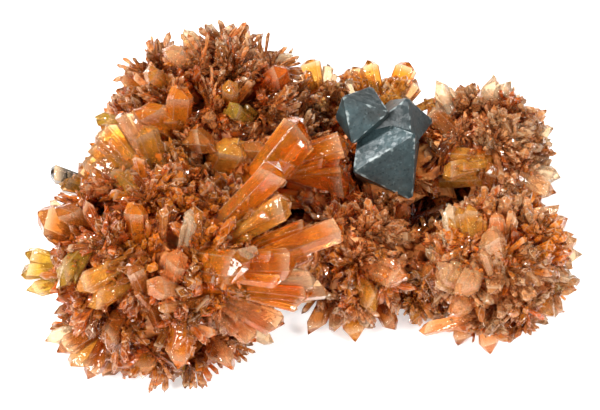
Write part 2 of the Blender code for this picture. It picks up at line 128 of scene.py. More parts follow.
# Large crystals of each spray: root pixel, root depth, tip pixel, tip depth, width,
# thickness (mm), turn of the broad face (degrees) and tone. Depths are from the spray's
# middle toward the viewer
LARGE = {
    "upper_left": [
        ((178, 131), 11.0, (137, 107), 16.6, 4.8, 3.0, 10, "orange"),
        ((178, 131), 11.0, (181, 87), 16.8, 4.2, 3.0, -10, "orange"),
        ((183, 141), 12.0, (213, 141), 18.6, 4.4, 3.2, 20, "brown"),
        ((205, 195), 8.0, (237, 141), 17.2, 5.6, 3.4, -15, "gold"),
        ((246, 150), 9.0, (277, 152), 14.5, 3.2, 2.6, 30, "brown"),
        ((250, 122), 10.0, (231, 109), 17.0, 2.6, 2.0, 0, "olive"),
        ((228, 108), 10.0, (231, 85), 16.6, 2.8, 2.2, 15, "amber"),
        ((168, 86), 9.0, (147, 72), 14.0, 2.8, 2.2, 20, "amber"),
        ((188, 66), 8.0, (167, 48), 12.5, 3.2, 2.4, 10, "peach"),
        ((262, 88), 6.0, (288, 68), 9.5, 4.0, 3.0, 25, "deep"),
        ((128, 126), 7.0, (97, 118), 10.5, 2.4, 2.0, 40, "olive"),
        ((270, 68), 0.0, (291, 52), 2.5, 1.8, 1.4, 0, "clear"),
        ((214, 80), 3.0, (184, 27), 0.0, 2.0, 1.5, 0, "clear"),
        ((214, 80), 0.0, (213, 22), 0.0, 2.2, 1.6, 30, "clear"),
        ((214, 80), 0.0, (234, 22), -1.0, 2.6, 2.0, 0, "peach"),
        ((224, 80), 0.0, (248, 22), 0.0, 2.2, 1.6, 30, "peach"),
        ((150, 90), 2.0, (118, 78), 3.0, 2.6, 2.0, 0, "amber"),
    ],
    "left_side": [
        ((146, 178), 0.0, (101, 127), 5.5, 4.4, 3.2, 10, "gold"),
        ((156, 172), 1.0, (123, 113), 7.0, 3.0, 2.4, -30, "peach"),
        ((162, 176), 2.0, (145, 127), 9.0, 3.8, 2.8, 0, "gold"),
        ((140, 184), 0.0, (92, 142), 4.0, 3.8, 2.8, 25, "gold"),
        ((134, 192), 0.0, (86, 158), 3.5, 3.2, 2.4, -20, "gold"),
        ((152, 206), 4.0, (112, 174), 8.5, 3.2, 2.0, 5, "gold"),
        ((120, 195), -1.0, (78, 166), 1.5, 3.0, 2.4, 20, "amber"),
        ((84, 184), -3.0, (49, 172), -1.5, 2.8, 2.2, 0, "smoke"),
        ((96, 192), -2.0, (60, 184), 0.0, 2.6, 2.0, 10, "gold"),
    ],
    "lower_left": [
        ((80, 232), 1.0, (38, 214), 3.5, 5.0, 3.0, 0, "brown"),
        ((80, 225), 0.0, (50, 202), 1.0, 1.8, 1.4, 0, "clear"),
        ((92, 228), 5.0, (60, 205), 8.5, 3.6, 2.8, 20, "brown"),
        ((142, 240), 11.0, (137, 203), 15.5, 3.6, 2.8, 0, "orange"),
        ((188, 240), 12.0, (194, 212), 18.0, 2.4, 1.8, 20, "clear"),
        ((122, 266), 12.5, (78, 288), 13.8, 3.6, 2.4, -5, "gold"),
        ((132, 281), 12.5, (90, 304), 13.4, 3.4, 2.2, 15, "gold"),
        ((82, 256), 8.0, (59, 284), 11.0, 3.4, 2.6, 10, "olive"),
        ((60, 262), 0.0, (26, 253), 1.5, 2.8, 2.2, 0, "olive"),
        ((60, 270), 1.0, (22, 272), 2.5, 2.8, 2.2, 20, "olive"),
        ((66, 282), 1.0, (28, 291), 2.0, 2.6, 2.0, 0, "olive"),
        ((178, 288), 13.0, (155, 286), 19.6, 3.6, 3.0, 0, "salmon"),
        ((172, 284), 13.0, (181, 252), 19.4, 3.6, 2.8, 25, "salmon"),
        ((152, 300), 13.0, (135, 262), 18.6, 3.0, 2.4, -20, "brown"),
        ((184, 318), 11.5, (178, 367), 10.6, 4.0, 3.0, 5, "orange"),
        ((150, 345), 4.0, (146, 376), 6.2, 3.8, 3.0, 10, "amber"),
        ((122, 316), 9.0, (107, 344), 12.4, 3.2, 2.6, 0, "brown"),
        ((214, 335), 3.0, (231, 370), 4.4, 3.2, 2.4, -10, "salmon"),
        ((184, 362), -3.0, (191, 381), -2.0, 2.2, 1.8, 0, "olive"),
        ((104, 350), 0.0, (88, 378), 1.0, 3.2, 2.4, 10, "brown"),
        ((114, 366), -6.0, (105, 383), -5.5, 3.0, 2.4, 0, "brown"),
        ((240, 325), 2.0, (275, 340), 3.0, 2.4, 1.8, 10, "clear"),
        ((92, 322), -1.0, (46, 341), 0.0, 2.4, 1.8, 0, "clear"),
    ],
    "fan_low": [
        ((230, 218), 4.0, (281, 167), 6.6, 4.8, 3.6, -28, "orange"),
        ((238, 232), 4.5, (290, 203), 7.6, 4.2, 3.0, 15, "gold"),
        ((206, 280), 3.5, (343, 227), 2.6, 4.4, 3.6, 24, "orange"),
        ((220, 264), 5.0, (297, 263), 8.0, 5.0, 3.6, 10, "orange"),
        ((236, 280), 4.5, (316, 279), 5.0, 3.0, 2.2, -12, "clear"),
        ((220, 284), 3.0, (312, 295), 3.4, 4.2, 3.2, 12, "orange"),
        ((250, 296), 1.5, (327, 288), 1.0, 3.0, 2.4, -10, "peach"),
        ((222, 296), 2.0, (284, 324), 3.6, 3.6, 2.8, 10, "salmon"),
        ((214, 300), 2.0, (256, 340), 3.6, 3.4, 2.6, -10, "salmon"),
        ((208, 262), 6.0, (246, 268), 13.6, 5.4, 4.0, 0, "orange"),
        ((256, 250), 10.0, (236, 257), 12.0, 2.2, 1.8, 10, "clear"),
    ],
    "fan_high": [
        ((248, 196), 1.0, (307, 124), 8.0, 6.6, 4.0, -8, "orange"),
        ((282, 163), 1.0, (347, 143), 4.6, 4.2, 3.6, 8, "orange"),
        ((278, 166), 0.0, (353, 188), 2.4, 4.8, 3.8, -20, "deep"),
        ((262, 196), 0.0, (318, 200), 1.0, 2.6, 2.0, 0, "deep"),
    ],
    "middle_low": [
        ((372, 266), 5.0, (405, 280), 10.0, 4.2, 2.6, 5, "salmon"),
        ((362, 282), 6.0, (377, 310), 8.5, 3.0, 2.4, 0, "gold"),
        ((330, 296), 0.0, (310, 336), 0.6, 2.8, 2.2, 0, "brown"),
        ((336, 304), 0.0, (335, 332), 1.0, 2.2, 1.8, 20, "peach"),
        ((352, 306), 0.0, (357, 342), 0.6, 3.8, 2.6, 0, "amber"),
        ((378, 300), 0.0, (395, 330), 1.4, 3.0, 2.4, -15, "brown"),
    ],
    "centre": [
        ((398, 222), 3.0, (409, 202), 7.0, 2.6, 1.8, 0, "salmon"),
        ((372, 205), 2.0, (366, 182), 4.0, 1.8, 1.4, 0, "peach"),
    ],
    "upper_middle": [
        ((375, 108), 0.0, (355, 64), 1.4, 2.2, 1.8, 0, "gold"),
        ((378, 104), 0.0, (367, 58), 0.6, 3.4, 2.4, 10, "gold"),
        ((392, 104), 0.0, (410, 60), 0.8, 3.6, 2.6, -10, "orange"),
        ((396, 108), 1.0, (419, 79), 2.0, 3.0, 2.2, 0, "peach"),
        ((376, 110), 0.0, (346, 78), 0.0, 2.2, 1.8, 0, "clear"),
    ],
    "behind": [
        ((318, 100), 0.0, (309, 57), 1.0, 3.4, 2.6, 0, "gold"),
        ((322, 100), 0.0, (329, 62), 0.0, 2.0, 1.6, 20, "clear"),
        ((310, 100), 1.0, (294, 69), 2.0, 2.4, 1.8, 0, "peach"),
        ((322, 104), 1.0, (337, 84), 1.0, 2.0, 1.6, 0, "clear"),
    ],
    "upper_right": [
        ((456, 118), 1.0, (437, 79), 1.6, 2.6, 2.0, 0, "clear"),
        ((470, 118), 1.0, (446, 85), 0.0, 1.6, 1.2, 10, "clear"),
        ((476, 116), 1.0, (462, 83), 1.0, 2.4, 1.8, 0, "salmon"),
        ((488, 112), 1.0, (494, 73), 1.2, 3.4, 2.4, 12, "clear"),
        ((496, 112), 1.0, (513, 80), 0.6, 3.4, 2.4, -12, "clear"),
        ((508, 124), 0.0, (538, 107), 1.0, 3.2, 2.4, 0, "brown"),
        ((520, 140), 0.0, (557, 130), 1.0, 2.4, 1.8, 0, "clear"),
        ((524, 168), 1.0, (563, 178), 2.0, 3.2, 2.4, 15, "clear"),
        ((482, 158), 3.0, (420, 154), 6.0, 3.6, 3.0, 20, "amber"),
        ((482, 176), 3.0, (419, 177), 4.4, 3.8, 3.0, -10, "amber"),
        ((486, 163), 6.0, (443, 173), 10.6, 3.0, 2.2, 5, "gold"),
        ((458, 136), 3.0, (427, 107), 4.0, 3.0, 2.4, 0, "brown"),
        ((488, 190), 2.0, (494, 166), 9.5, 2.8, 2.0, 0, "brown"),
        ((524, 182), 3.0, (537, 215), 7.0, 3.2, 2.6, 10, "orange"),
    ],
    "lower_right": [
        ((466, 284), 6.0, (435, 270), 10.6, 3.8, 2.8, 10, "peach"),
        ((436, 290), 1.0, (424, 264), 3.4, 3.0, 2.4, 0, "brown"),
        ((474, 270), 8.0, (461, 295), 12.4, 3.8, 2.8, 15, "peach"),
        ((470, 294), 5.0, (451, 315), 8.8, 3.4, 2.6, 0, "salmon"),
        ((482, 316), 2.0, (418, 330), 3.4, 2.2, 1.8, 10, "salmon"),
        ((487, 318), 1.0, (490, 354), 2.4, 3.4, 2.4, 0, "salmon"),
        ((526, 286), 1.0, (553, 316), 3.0, 2.8, 2.2, 0, "gold"),
        ((536, 278), 0.0, (562, 289), 1.0, 2.2, 1.8, 0, "olive"),
        ((540, 270), 0.0, (573, 277), 0.0, 2.4, 1.8, 20, "clear"),
        ((544, 256), 0.0, (582, 254), 0.0, 2.6, 2.0, 0, "clear"),
        ((540, 250), 1.0, (576, 238), 2.0, 2.6, 2.0, 10, "peach"),
        ((454, 246), 5.0, (447, 203), 5.0, 2.8, 2.2, 10, "clear"),
        ((466, 240), 5.0, (459, 206), 6.4, 2.8, 2.2, -10, "gold"),
        ((474, 240), 5.0, (469, 203), 6.8, 3.2, 2.2, 0, "gold"),
        ((498, 244), 6.0, (494, 211), 8.0, 2.6, 2.0, 20, "salmon"),
        ((494, 262), 9.0, (487, 228), 12.6, 4.2, 3.2, 0, "peach"),
        ((464, 318), -1.0, (460, 346), 0.0, 2.8, 2.2, 0, "brown"),
    ],
}

# Large crystals that fill out the outline: spray, then the same values. They come last, so
# that the others keep their random shapes
OUTLINE_LARGE = [
    ("lower_left", ((100, 326), 0.0, (58, 352), 1.6, 3.4, 2.6, 0, "brown")),
    ("lower_left", ((106, 334), -1.0, (72, 366), 0.4, 3.0, 2.4, 15, "gold")),
    ("upper_right", ((508, 172), 1.0, (558, 193), 4.0, 3.6, 2.6, 0, "peach")),
    ("lower_right", ((510, 240), 2.0, (556, 202), 1.0, 3.4, 2.6, 0, "peach")),
    ("lower_right", ((520, 246), 1.0, (568, 220), 1.0, 3.0, 2.4, 10, "salmon")),
]

# Sprays whose large crystals end in a blunt gable, and the factors that draw the shapes of
# the others out: on ridge shift, the two gable slopes and ridge share
BLUNT = ("fan_low", "fan_high", "left_side", "upper_middle", "behind")
POINTED = np.array([1.5, 1.8, 1.8, 0.5])

# Seeds of the random draws. Tiers, sides, druse and stars add the number of their batch or
# spray to theirs
SEEDS = {
    "large": 11,
    "plain": 12,
    "plain_tones": 13,
    "tiers": 14,
    "druse": 31,
    "sides": 41,
    "crust": 51,
    "fluorite": 51,
    "rock": 71,
    "drift": 91,
    "stars": 111,
}

# Plain crystals, as in the part's source: reach over the spray's radius, width over the
# radius's square root, thickness over width, root's place over the radius, scatter of the
# directions, lowest z of a tip (mm), and how much of a neighbour's radius and of an
# octahedron's edge stays free of tips
PLAIN_REACH = (0.93, 1.03)
PLAIN_WIDTH = (0.64, 0.88)
PLAIN_THICKNESS = (0.62, 0.9)
PLAIN_ROOT = 0.55
PLAIN_JITTER = 0.16
FLOOR_CLEARANCE = 0.8
CROWDING = 0.82
FLUORITE_CROWDING = 0.72

# Smaller crystals between them, in tiers: crystals per square millimetre, mean width over
# the spray's own grain, lowest and highest reach over the radius, lowest z of a tip (mm)
TIERS = {
    "middle": (0.42, 0.88, 0.80, 1.12, 0.8),
    "small": (0.82, 0.58, 0.69, 0.97, 0.5),
    "fine": (0.80, 0.40, 0.64, 0.86, 0.4),
}
# The spray's grain (mm) at which a density holds, how rare high reaches are (a power), the
# spread of the widths and the length over the way to the star's hub
TIER_GRAIN = 1.4
TIER_CROWNS = 1.25
TIER_SPREAD = 0.28
TIER_LENGTH = 1.25
# Scatter of the places and of the lean, the pull of the lean away from the spray's centre,
# the root's width over the shoulder's, and thickness over width
TIER_JITTER = 0.10
TIER_LEAN = 0.14
TIER_UPRIGHT = 0.4
TIER_TAPER = 0.5
TIER_THICKNESS = (0.35, 0.70)
# How much of a neighbour's reach stays free of tips, the share of a crystal's width that
# counts beside a large one, its places from tip to root that stay clear of the octahedra,
# and by how much (mm)
TIER_CROWDING = 0.80
TIER_ELBOW = 0.6
TIER_PLACES = (0.0, 0.4, 0.8)
FLUORITE_GAP = 0.4
# The batches made as four-sided spikes
SPIKES = ("small", "fine")
# Factors on the large ones' shape: on ridge shift, the two gable slopes and ridge share
TIER_SHAPE = np.array([1.6, 2.3, 2.3, 0.45])
# Stars: bursts in which the smaller crystals fan out from one point under the surface. The
# seen ones have a middle pixel and a radius (mm), and even ones cover the rest
STARS = {
    "upper_left": [
        ((216, 98), 7.5),
        ((158, 92), 6.0),
        ((238, 52), 6.0),
        ((282, 98), 5.5),
        ((190, 160), 5.5),
        ((192, 52), 5.0),
    ],
    "lower_left": [
        ((148, 284), 7.5),
        ((118, 346), 6.0),
        ((78, 312), 6.0),
        ((96, 234), 6.0),
        ((164, 224), 5.0),
        ((186, 334), 6.0),
        ((48, 272), 4.5),
    ],
    "left_side": [((134, 176), 6.0), ((98, 196), 5.0)],
    "fan_low": [((214, 264), 8.0), ((232, 318), 6.0), ((204, 222), 5.0)],
    "fan_high": [((262, 192), 6.0), ((226, 190), 4.5)],
    "middle_low": [((352, 262), 7.0), ((352, 318), 5.0), ((398, 290), 5.0)],
    "centre": [((388, 206), 5.5)],
    "between": [((324, 236), 5.0)],
    "upper_middle": [((386, 100), 5.5)],
    "behind": [((316, 102), 5.0)],
    "upper_right": [((504, 140), 8.0), ((532, 192), 5.0), ((448, 128), 4.5)],
    "right_gap": [((442, 152), 4.5)],
    "lower_right": [((507, 263), 8.5), ((458, 302), 5.5), ((548, 214), 5.0), ((530, 322), 5.0)],
    "low_gap": [((430, 292), 5.0)],
    "recess": [((350, 150), 4.5)],
}
# Radius of an even star (mm), scatter of their directions, and how near stars may come over
# the sum of their radii
PLAIN_STAR = 5.5
STAR_SCATTER = 0.2
STAR_CLEAR = 0.7
# Depth of the hub over the star's radius, how far off the middle counts at most over that
# radius, how much lower the rim is, and the width's factor at the middle and its growth
STAR_DEPTH = 0.55
STAR_EDGE = 1.5
STAR_DROP = 0.05
STAR_GROWTH = (0.6, 0.65)

# Side crystals grown along the bigger ones: how many, nearest and furthest place off the
# axis in shares of the width, and the spread of their axis
SIDES = {
    "large": (3, 0.38, 0.62, 0.07),
    "leaf": (2, 0.38, 0.70, 0.07),
    "plain": (7, 0.40, 1.10, 0.13),
    "middle": (1, 0.36, 0.80, 0.12),
}
# Their start, least and most length and width over the crystal's own, how much shorter the
# mean one is, how far they flare off it over the spread, their turn (degrees) and light
SIDE_START = 0.4
SIDE_LENGTH = (0.62, 0.97)
SIDE_WIDTH = (0.25, 0.55)
SIDE_BEHIND = 0.12
SIDE_FLARE = 0.6
SIDE_TURN = 25.0
SIDE_LIGHT = (0.8, 1.15)
# A plain crystal over the solid's, and the width of its side crystals over the others'
PLAIN_SLIMMING = 0.62
PLAIN_SIDE_GROWTH = 1.6

# Crust of small crystals on the inner part of each lying large one: how many, the first
# share of the shown length that carries them, how they gather toward the tip (a power),
# their seat off the axis and width over the large one's width, their free length over their
# own width, their lean toward the tip, its scatter, and their tone
CRUST_COUNT = 26
CRUST_FROM = 0.45
CRUST_GATHER = 0.7
CRUST_SEAT = 0.42
CRUST_WIDTH = (0.09, 0.24)
CRUST_REACH = (0.5, 2.2)
CRUST_LEAN = (-0.3, 1.4)
CRUST_SCATTER = 0.3
CRUST_TONE = "deep orange orange salmon"

# Large crystals whose tip is further than this (mm) in front of their spray's middle lie
# along the druse, their root lifted to its surface at a share of the radius
LYING_FROM = 3.0
LYING_SHARE = 0.62

# Nothing small stands in front of the outer part of a large crystal: that part's share of
# its length, and how far in front counts (mm), also for the finest crystals
SHOWN_SHARE = 0.5
SHOWN_DEPTH = 9.0
SHOWN_DEPTH_FINE = 2.5

# Hollows between the crystals: pixel and radius (mm); then their depth over the spray's
# radius, how much of a tone the painted shade in them takes away, and the painted shade of the
# druse in them
HOLLOWS = [
    ((201, 103), 2.0),
    ((248, 101), 1.8),
    ((195, 158), 1.8),
    ((251, 152), 1.9),
    ((292, 211), 1.6),
    ((172, 237), 1.5),
    ((428, 214), 2.7),
    ((423, 254), 1.1),
    ((467, 186), 2.5),
    ((444, 188), 1.6),
    ((356, 184), 1.3),
]
HOLLOW_DEPTH = 0.30
PAINTED_HOLLOW_SHADE = 0.85
PAINTED_PIT_SHADE = (0.03, 0.012, 0.006)

# Shape of every prism: corners of its six-sided section over width and thickness; the
# ridge's shift over the half width, the fall of the two gable planes for each unit across
# and the ridge's length over the thickness; the root's width over the shoulder's; and how
# far a root runs on toward the spray's centre at most (mm)
SHOULDER = 0.28
SECTION = np.array(
    [
        (-0.5, 0.0),
        (-SHOULDER, -0.5),
        (SHOULDER, -0.5),
        (0.5, 0.0),
        (SHOULDER, 0.5),
        (-SHOULDER, 0.5),
    ]
)
RIDGE_SHIFT = 0.22
GABLE_FALL = (0.45, 0.95)
RIDGE_SHARE = (0.35, 1.0)
ROOT_TAPER = 0.8
ROOT_RUN = 9.0
# A prism whose axis crosses the line of sight by less than this sine is turned by the
# picture's up instead
ALONG_SIGHT = 0.05

# Fluorite octahedra: centre pixel, depth from the aim, edge (mm), turn and lean (degrees);
# then the brightness of each one's body, the share of an edge that a corner's cut takes, and
# waves per mm, steps and least share of the etching
FLUORITES = [
    ((362, 115), -0.8, 7.6, -19, -8),
    ((401, 124), -2.2, 7.8, -84, -14),
    ((386.5, 157), -2.0, 11.2, 31, -28),
]
FLUORITE_SHADES = (1.0, 0.6, 1.0)
CORNER_CUT = 0.07
ETCH_TURNS = 0.35
ETCH_STEPS = 6
ETCH_LEAST = 0.35

# Rock: centre from the aim and half sizes (mm), and ripples as waves per metre, phase and
# height, as in the part's source; then its grid's rings and the height, waves per mm and
# steps of its roughness
ROCK_CENTRE = (6.0, 8.0)
ROCK_HALF = np.array([29.0, 13.0, 6.4])
ROCK_RIPPLES = [
    ((31.0, 12.0, 9.0), 0.4, 0.075),
    ((-17.0, 38.0, 22.0), 2.1, 0.060),
    ((44.0, 35.0, -40.0), 4.4, 0.045),
    ((-62.0, 51.0, 30.0), 1.2, 0.030),
]
ROCK_RINGS = 60
ROCK_LUMPS = 0.05
ROCK_TURNS = 0.22
ROCK_STEPS = 6

# The rough noise: how many waves a step has, and each step's waves and height over the last
WAVES = 6
WAVE_GROWTH = 1.9
WAVE_FALL = 0.6

# Noises of the materials: features per metre, detail and roughness
NOISES = {
    "creedite": (420.0, 4.0, 0.6),
    "druse": (520.0, 5.0, 0.7),
    "fluorite": (150.0, 5.0, 0.65),
    "smoke": (70.0, 2.0, 0.5),
    "frost_and_edge_highlight": (900.0, 3.0, 0.5),
    "rock": (300.0, 7.0, 0.7),
    "paper": (900.0, 3.0, 0.5),
}

# Creedite: its painted shade from root to tip by the share of the spray's reach, darker deep in
# the spray, the shades of its clouds, least and most roughness over the mean one, and index of
# refraction
PAINTED_DEPTH_SHADE = [(0.64, (0.50, 0.15, 0.045)), (0.80, (0.92, 0.68, 0.50)), (0.98, (1.0, 1.0, 1.0))]
CLOUD_SHADES = [(0.35, (0.84, 0.70, 0.62)), (0.65, (1.1, 1.1, 1.1))]
ROUGH_SPAN = (0.5, 1.6)
CREEDITE_IOR = 1.46

# Pale edges of the crystals, a painted highlight: where the rim begins over the half width of a
# face, the painted highlight's tone, the shares of the spray's reach between which it comes in, and
# its rounding (m)
RIM_START = 0.86
PAINTED_EDGE_HIGHLIGHT = (0.98, 0.70, 0.42)
EDGE_OUT = (0.78, 1.0)
EDGE_RELIEF = 0.0002

# Growth steps: how many flat ones across, through and along a crystal for each width, the
# shift that gives neighbouring crystals other steps, and after how many it starts again
STEPS_PER_WIDTH = (2.4, 2.4, 0.22)
GRAIN_SHIFT = 37.0
GRAIN_KINDS = 500

# Druse: colours by its noise, relief (m), its strength and roughness
DRUSE_COLOURS = [
    (0.32, (0.30, 0.07, 0.012)),
    (0.5, (0.72, 0.22, 0.045)),
    (0.68, (0.95, 0.46, 0.15)),
]
DRUSE_RELIEF = 0.0006
DRUSE_STRENGTH = 0.8
DRUSE_ROUGHNESS = 0.35

# Fluorite: factors on its colour by its clouds, share of the smoky patches, shades of the
# pepper of dark pits and of light specks painted as glitter, and pits per metre, relief (m) and
# index of refraction
FLUORITE_CLOUDS = [(0.3, 0.5), (0.5, 1.0), (0.7, 1.7)]
SMOKE_SHARES = [(0.47, (0.0,) * 3), (0.62, (0.75,) * 3)]
PEPPER_AND_PAINTED_GLITTER = [(0.1, (0.5, 0.55, 0.55)), (0.3, (1.0,) * 3), (0.8, (1.0,) * 3), (0.95, (1.8,) * 3)]
PEPPER_PER_METRE = 3600.0
FLUORITE_RELIEF = 0.0003
FLUORITE_IOR = 1.434

# Etching of the fluorite: flat pits per metre, and where the pale edges, a painted highlight,
# begin and are full, on the sum of the rim's share and a noise
PITS_PER_METRE = 1500.0
EDGE_HIGHLIGHT_SPAN = (1.46, 1.60)

# Rock: colours by its noise, relief (m) and roughness
ROCK_COLOURS = [
    (0.35, (0.010, 0.008, 0.005)),
    (0.48, (0.045, 0.033, 0.018)),
    (0.56, (0.11, 0.06, 0.022)),
    (0.68, (0.28, 0.20, 0.11)),
]
ROCK_RELIEF = 0.0009
ROCK_ROUGHNESS = 0.62

# Paper: the light of its fibres over its own, where by its noise they begin and are full,
# its roughness and its gloss
FIBRE_LIGHT = 1.01
FIBRE_SPAN = (0.3, 0.7)
PAPER_ROUGHNESS = 0.9
PAPER_GLOSS = 0.1

# Sugar of fine cells: cells per metre, their shades by a random number, the brightest a painted
# glint, and its share on the blunt, the pointed, the smaller and the finest crystals
SUGAR_PER_METRE = 3000.0
SUGAR_SHADES_AND_PAINTED_GLINTS = [
    (0.05, (0.30, 0.20, 0.15)),
    (0.28, (0.92, 0.86, 0.82)),
    (0.70, (1.0, 0.98, 0.96)),
    (0.93, (1.7, 2.0, 2.4)),
]
LARGE_SUGAR = 0.2
LEAF_SUGAR = 0.3
BLADE_SUGAR = 0.8
DRUSE_SUGAR = 1.0

# Points closer than this (mm) are made one
WELD = 0.002

# Soft lamps: name, place (m), side (m) and power (W)
LAMPS = [
    ("key", (-0.14, 0.10, 0.34), 0.07, 1.9),
    ("fill", (0.25, -0.32, 0.30), 0.14, 1.8),
    ("front", (-0.28, -0.30, 0.28), 0.12, 1.9),
]

# Camera: sensor's width (mm), and nearest and furthest sight (m)
SENSOR = 36.0
CLIP = (0.01, 10.0)

# The solid that the creedite's pieces stand for
CREEDITE = "creedite_cluster"


# Places


def in_picture(pixel):
    """Places of pixels to the right of the picture's middle and above it, in mm: pixels
    from the middle over the scale."""
    pixel = np.asarray(pixel, float)
    across = (pixel[..., 0] - PICTURE_CENTRE[0]) / PIXELS_PER_MM
    return across, (PICTURE_CENTRE[1] - pixel[..., 1]) / PIXELS_PER_MM


def to_world(pixel, depth):
    """Places (mm) at picture pixels: as far along the picture's own right and up as they
    are from its middle, plus the depth toward the viewer."""
    across, up = in_picture(pixel)
    depth = np.asarray(depth, float)
    return (
        AIM
        + across[..., None] * VIEW_RIGHT
        + up[..., None] * VIEW_UP
        + depth[..., None] * TO_VIEWER
    )


def unit(rows):
    """Each row divided by its length."""
    return rows / np.linalg.norm(rows, axis=-1, keepdims=True)


def spray_places():
    """Centres (mm), depths and radii of all sprays, as arrays."""
    rows = list(SPRAYS.values())
    pixels = np.array([r[0] for r in rows], float)
    heights = np.array([r[1] for r in rows])
    radii = np.array([r[2] for r in rows])
    at_aim = to_world(pixels, np.zeros(len(rows)))
    depths = (heights - at_aim[:, 2]) / TO_VIEWER[2]
    return to_world(pixels, depths), depths, radii


CENTRES, DEPTHS, RADII = spray_places()
FILLS = np.array([row[5] for row in SPRAYS.values()])


def cross_axes(axis, turn):
    """Width and thickness directions of prisms: the broad face toward the viewer, then
    turned about the prism's axis by an angle in degrees."""
    side = np.cross(axis, TO_VIEWER)
    weak = np.linalg.norm(side, axis=-1) < ALONG_SIGHT
    side[weak] = np.cross(axis[weak], VIEW_UP)
    side = unit(side)
    front = unit(np.cross(side, axis))
    angle = np.radians(turn)[:, None]
    wide = side * np.cos(angle) + front * np.sin(angle)
    return wide, np.cross(axis, wide)


def batch(spray, root, tip, width, thickness, turn, shape, tone):
    """A dictionary of arrays, one row for each crystal, with the axis from root to tip and
    the two directions across it."""
    axis = unit(tip - root)
    wide, thick = cross_axes(axis, turn)
    return {
        "spray": spray,
        "root": root,
        "tip": tip,
        "width": width,
        "thickness": thickness,
        "axis": axis,
        "wide": wide,
        "thick": thick,
        "shape": shape,
        "tone": tone,
        "taper": np.full(len(root), ROOT_TAPER),
    }


def random_shapes(rng, count):
    """Ridge shift, two gable slopes and ridge share of each crystal, each drawn evenly
    between its least and its most."""
    low = np.array([-RIDGE_SHIFT, GABLE_FALL[0], GABLE_FALL[0], RIDGE_SHARE[0]])
    high = np.array([RIDGE_SHIFT, GABLE_FALL[1], GABLE_FALL[1], RIDGE_SHARE[1]])
    return low + (high - low) * rng.random((count, 4))


def surface_depth(pixels):
    """Depth toward the viewer (mm) of the druse under picture pixels: the nearest of the
    balls' front sides at a share of their radius, or minus infinity beside all of them."""
    depth = np.full(len(pixels), -math.inf)
    flat = to_world(pixels, np.zeros(len(pixels)))
    for centre, base, radius in zip(CENTRES, DEPTHS, RADII):
        side = flat - (centre - base * TO_VIEWER)
        short = (LYING_SHARE * radius) ** 2 - (side**2).sum(axis=1)
        front = base + np.sqrt(np.maximum(short, 0.0))
        depth = np.maximum(depth, np.where(short > 0.0, front, -math.inf))
    return depth


def large_crystals():
    """The named large crystals, with a root lifted to the druse where the crystal lies on
    it, and each root run on along the axis, at most to where it passes the spray's centre."""
    rng = np.random.default_rng(SEEDS["large"])
    names = list(SPRAYS)
    named = [(name, row) for name in LARGE for row in LARGE[name]] + OUTLINE_LARGE
    rows = [row for _, row in named]
    spray = np.array([names.index(name) for name, _ in named])
    tip_depth = np.array([r[3] for r in rows])
    root_depth = DEPTHS[spray] + [r[1] for r in rows]
    lying = tip_depth > LYING_FROM
    surface = surface_depth(np.array([r[0] for r in rows], float))
    root_depth = np.where(lying, np.maximum(root_depth, surface), root_depth)
    root = to_world([r[0] for r in rows], root_depth)
    tip = to_world([r[2] for r in rows], DEPTHS[spray] + tip_depth)
    axis = unit(tip - root)
    run = np.clip(((root - CENTRES[spray]) * axis).sum(axis=1), 0.0, ROOT_RUN)
    width, thickness, turn = (np.array([float(r[k]) for r in rows]) for k in (4, 5, 6))
    tone = np.array([TONES[r[7]] for r in rows])
    shape = random_shapes(rng, len(rows))
    blunt = np.array([name in BLUNT for name, _ in named])
    shape *= np.where(blunt[:, None], 1.0, POINTED)
    foot = root - axis * run[:, None]
    made = batch(spray, foot, tip, width, thickness, turn, shape, tone)
    return made | {"shown": np.where(lying[:, None], root, tip), "blunt": blunt}


def chosen(crystals, keep):
    """The rows of a batch that are kept."""
    return {name: value[keep] for name, value in crystals.items()}


def even_directions(count):
    """Unit vectors on a spiral from pole to pole, a golden angle apart."""
    golden = math.pi * (3.0 - math.sqrt(5.0))
    k = np.arange(count)
    z = 1.0 - 2.0 * (k + 0.5) / count
    ring = np.sqrt(1.0 - z * z)
    return np.stack([ring * np.cos(golden * k), ring * np.sin(golden * k), z], axis=1)


def in_fluorite(places, grow):
    """True for places in an octahedron: the shares along its three axes add up to less than
    its half diagonal plus a distance (mm)."""
    found = np.zeros(len(places), bool)
    for pixel, depth, edge, turn, lean in FLUORITES:
        shares = (places - to_world(pixel, depth)) @ octahedron_axes(turn, lean).T
        found |= np.abs(shares).sum(axis=1) < edge / math.sqrt(2.0) + grow
    return found


def crowded(tip, width, own, large, balls, floor):
    """True for tips that are lower than a floor (mm), inside the ball of another spray or
    nearer to a large crystal's axis than half the two widths."""
    bad = tip[:, 2] < floor
    for k, (centre, radius) in enumerate(zip(CENTRES, balls)):
        near = np.linalg.norm(tip - centre, axis=1) < radius
        bad |= near & (own != k)
    length = np.linalg.norm(large["tip"] - large["root"], axis=1)
    away = tip[:, None, :] - large["root"][None]
    along = np.clip((away * large["axis"]).sum(axis=2), 0.0, length)
    gap = np.linalg.norm(away - along[..., None] * large["axis"], axis=2)
    bad |= (gap < 0.5 * (large["width"] + width[:, None])).any(axis=1)
    return bad


def covers(places, width, large, reach):
    """True for places (mm) that stand between the viewer and a large crystal: nearer to its
    axis in the picture than half its width and a quarter of their own, and up to a reach (mm)
    in front of it."""
    picture = np.stack([VIEW_RIGHT, VIEW_UP], axis=1)
    start = large["tip"] + (large["shown"] - large["tip"]) * SHOWN_SHARE
    foot = (start - AIM) @ picture
    along = (large["tip"] - AIM) @ picture - foot
    away = (places - AIM) @ picture
    rel = away[:, None, :] - foot[None]
    share = np.clip((rel * along).sum(axis=2) / (along**2).sum(axis=1), 0.0, 1.0)
    gap = np.linalg.norm(rel - share[..., None] * along, axis=2)
    depth = (start - AIM) @ TO_VIEWER + share * ((large["tip"] - start) @ TO_VIEWER)
    front = (places - AIM) @ TO_VIEWER
    close = gap < 0.5 * large["width"] + 0.25 * width[:, None]
    return (close & (front[:, None] > depth) & (front[:, None] < depth + reach)).any(axis=1)


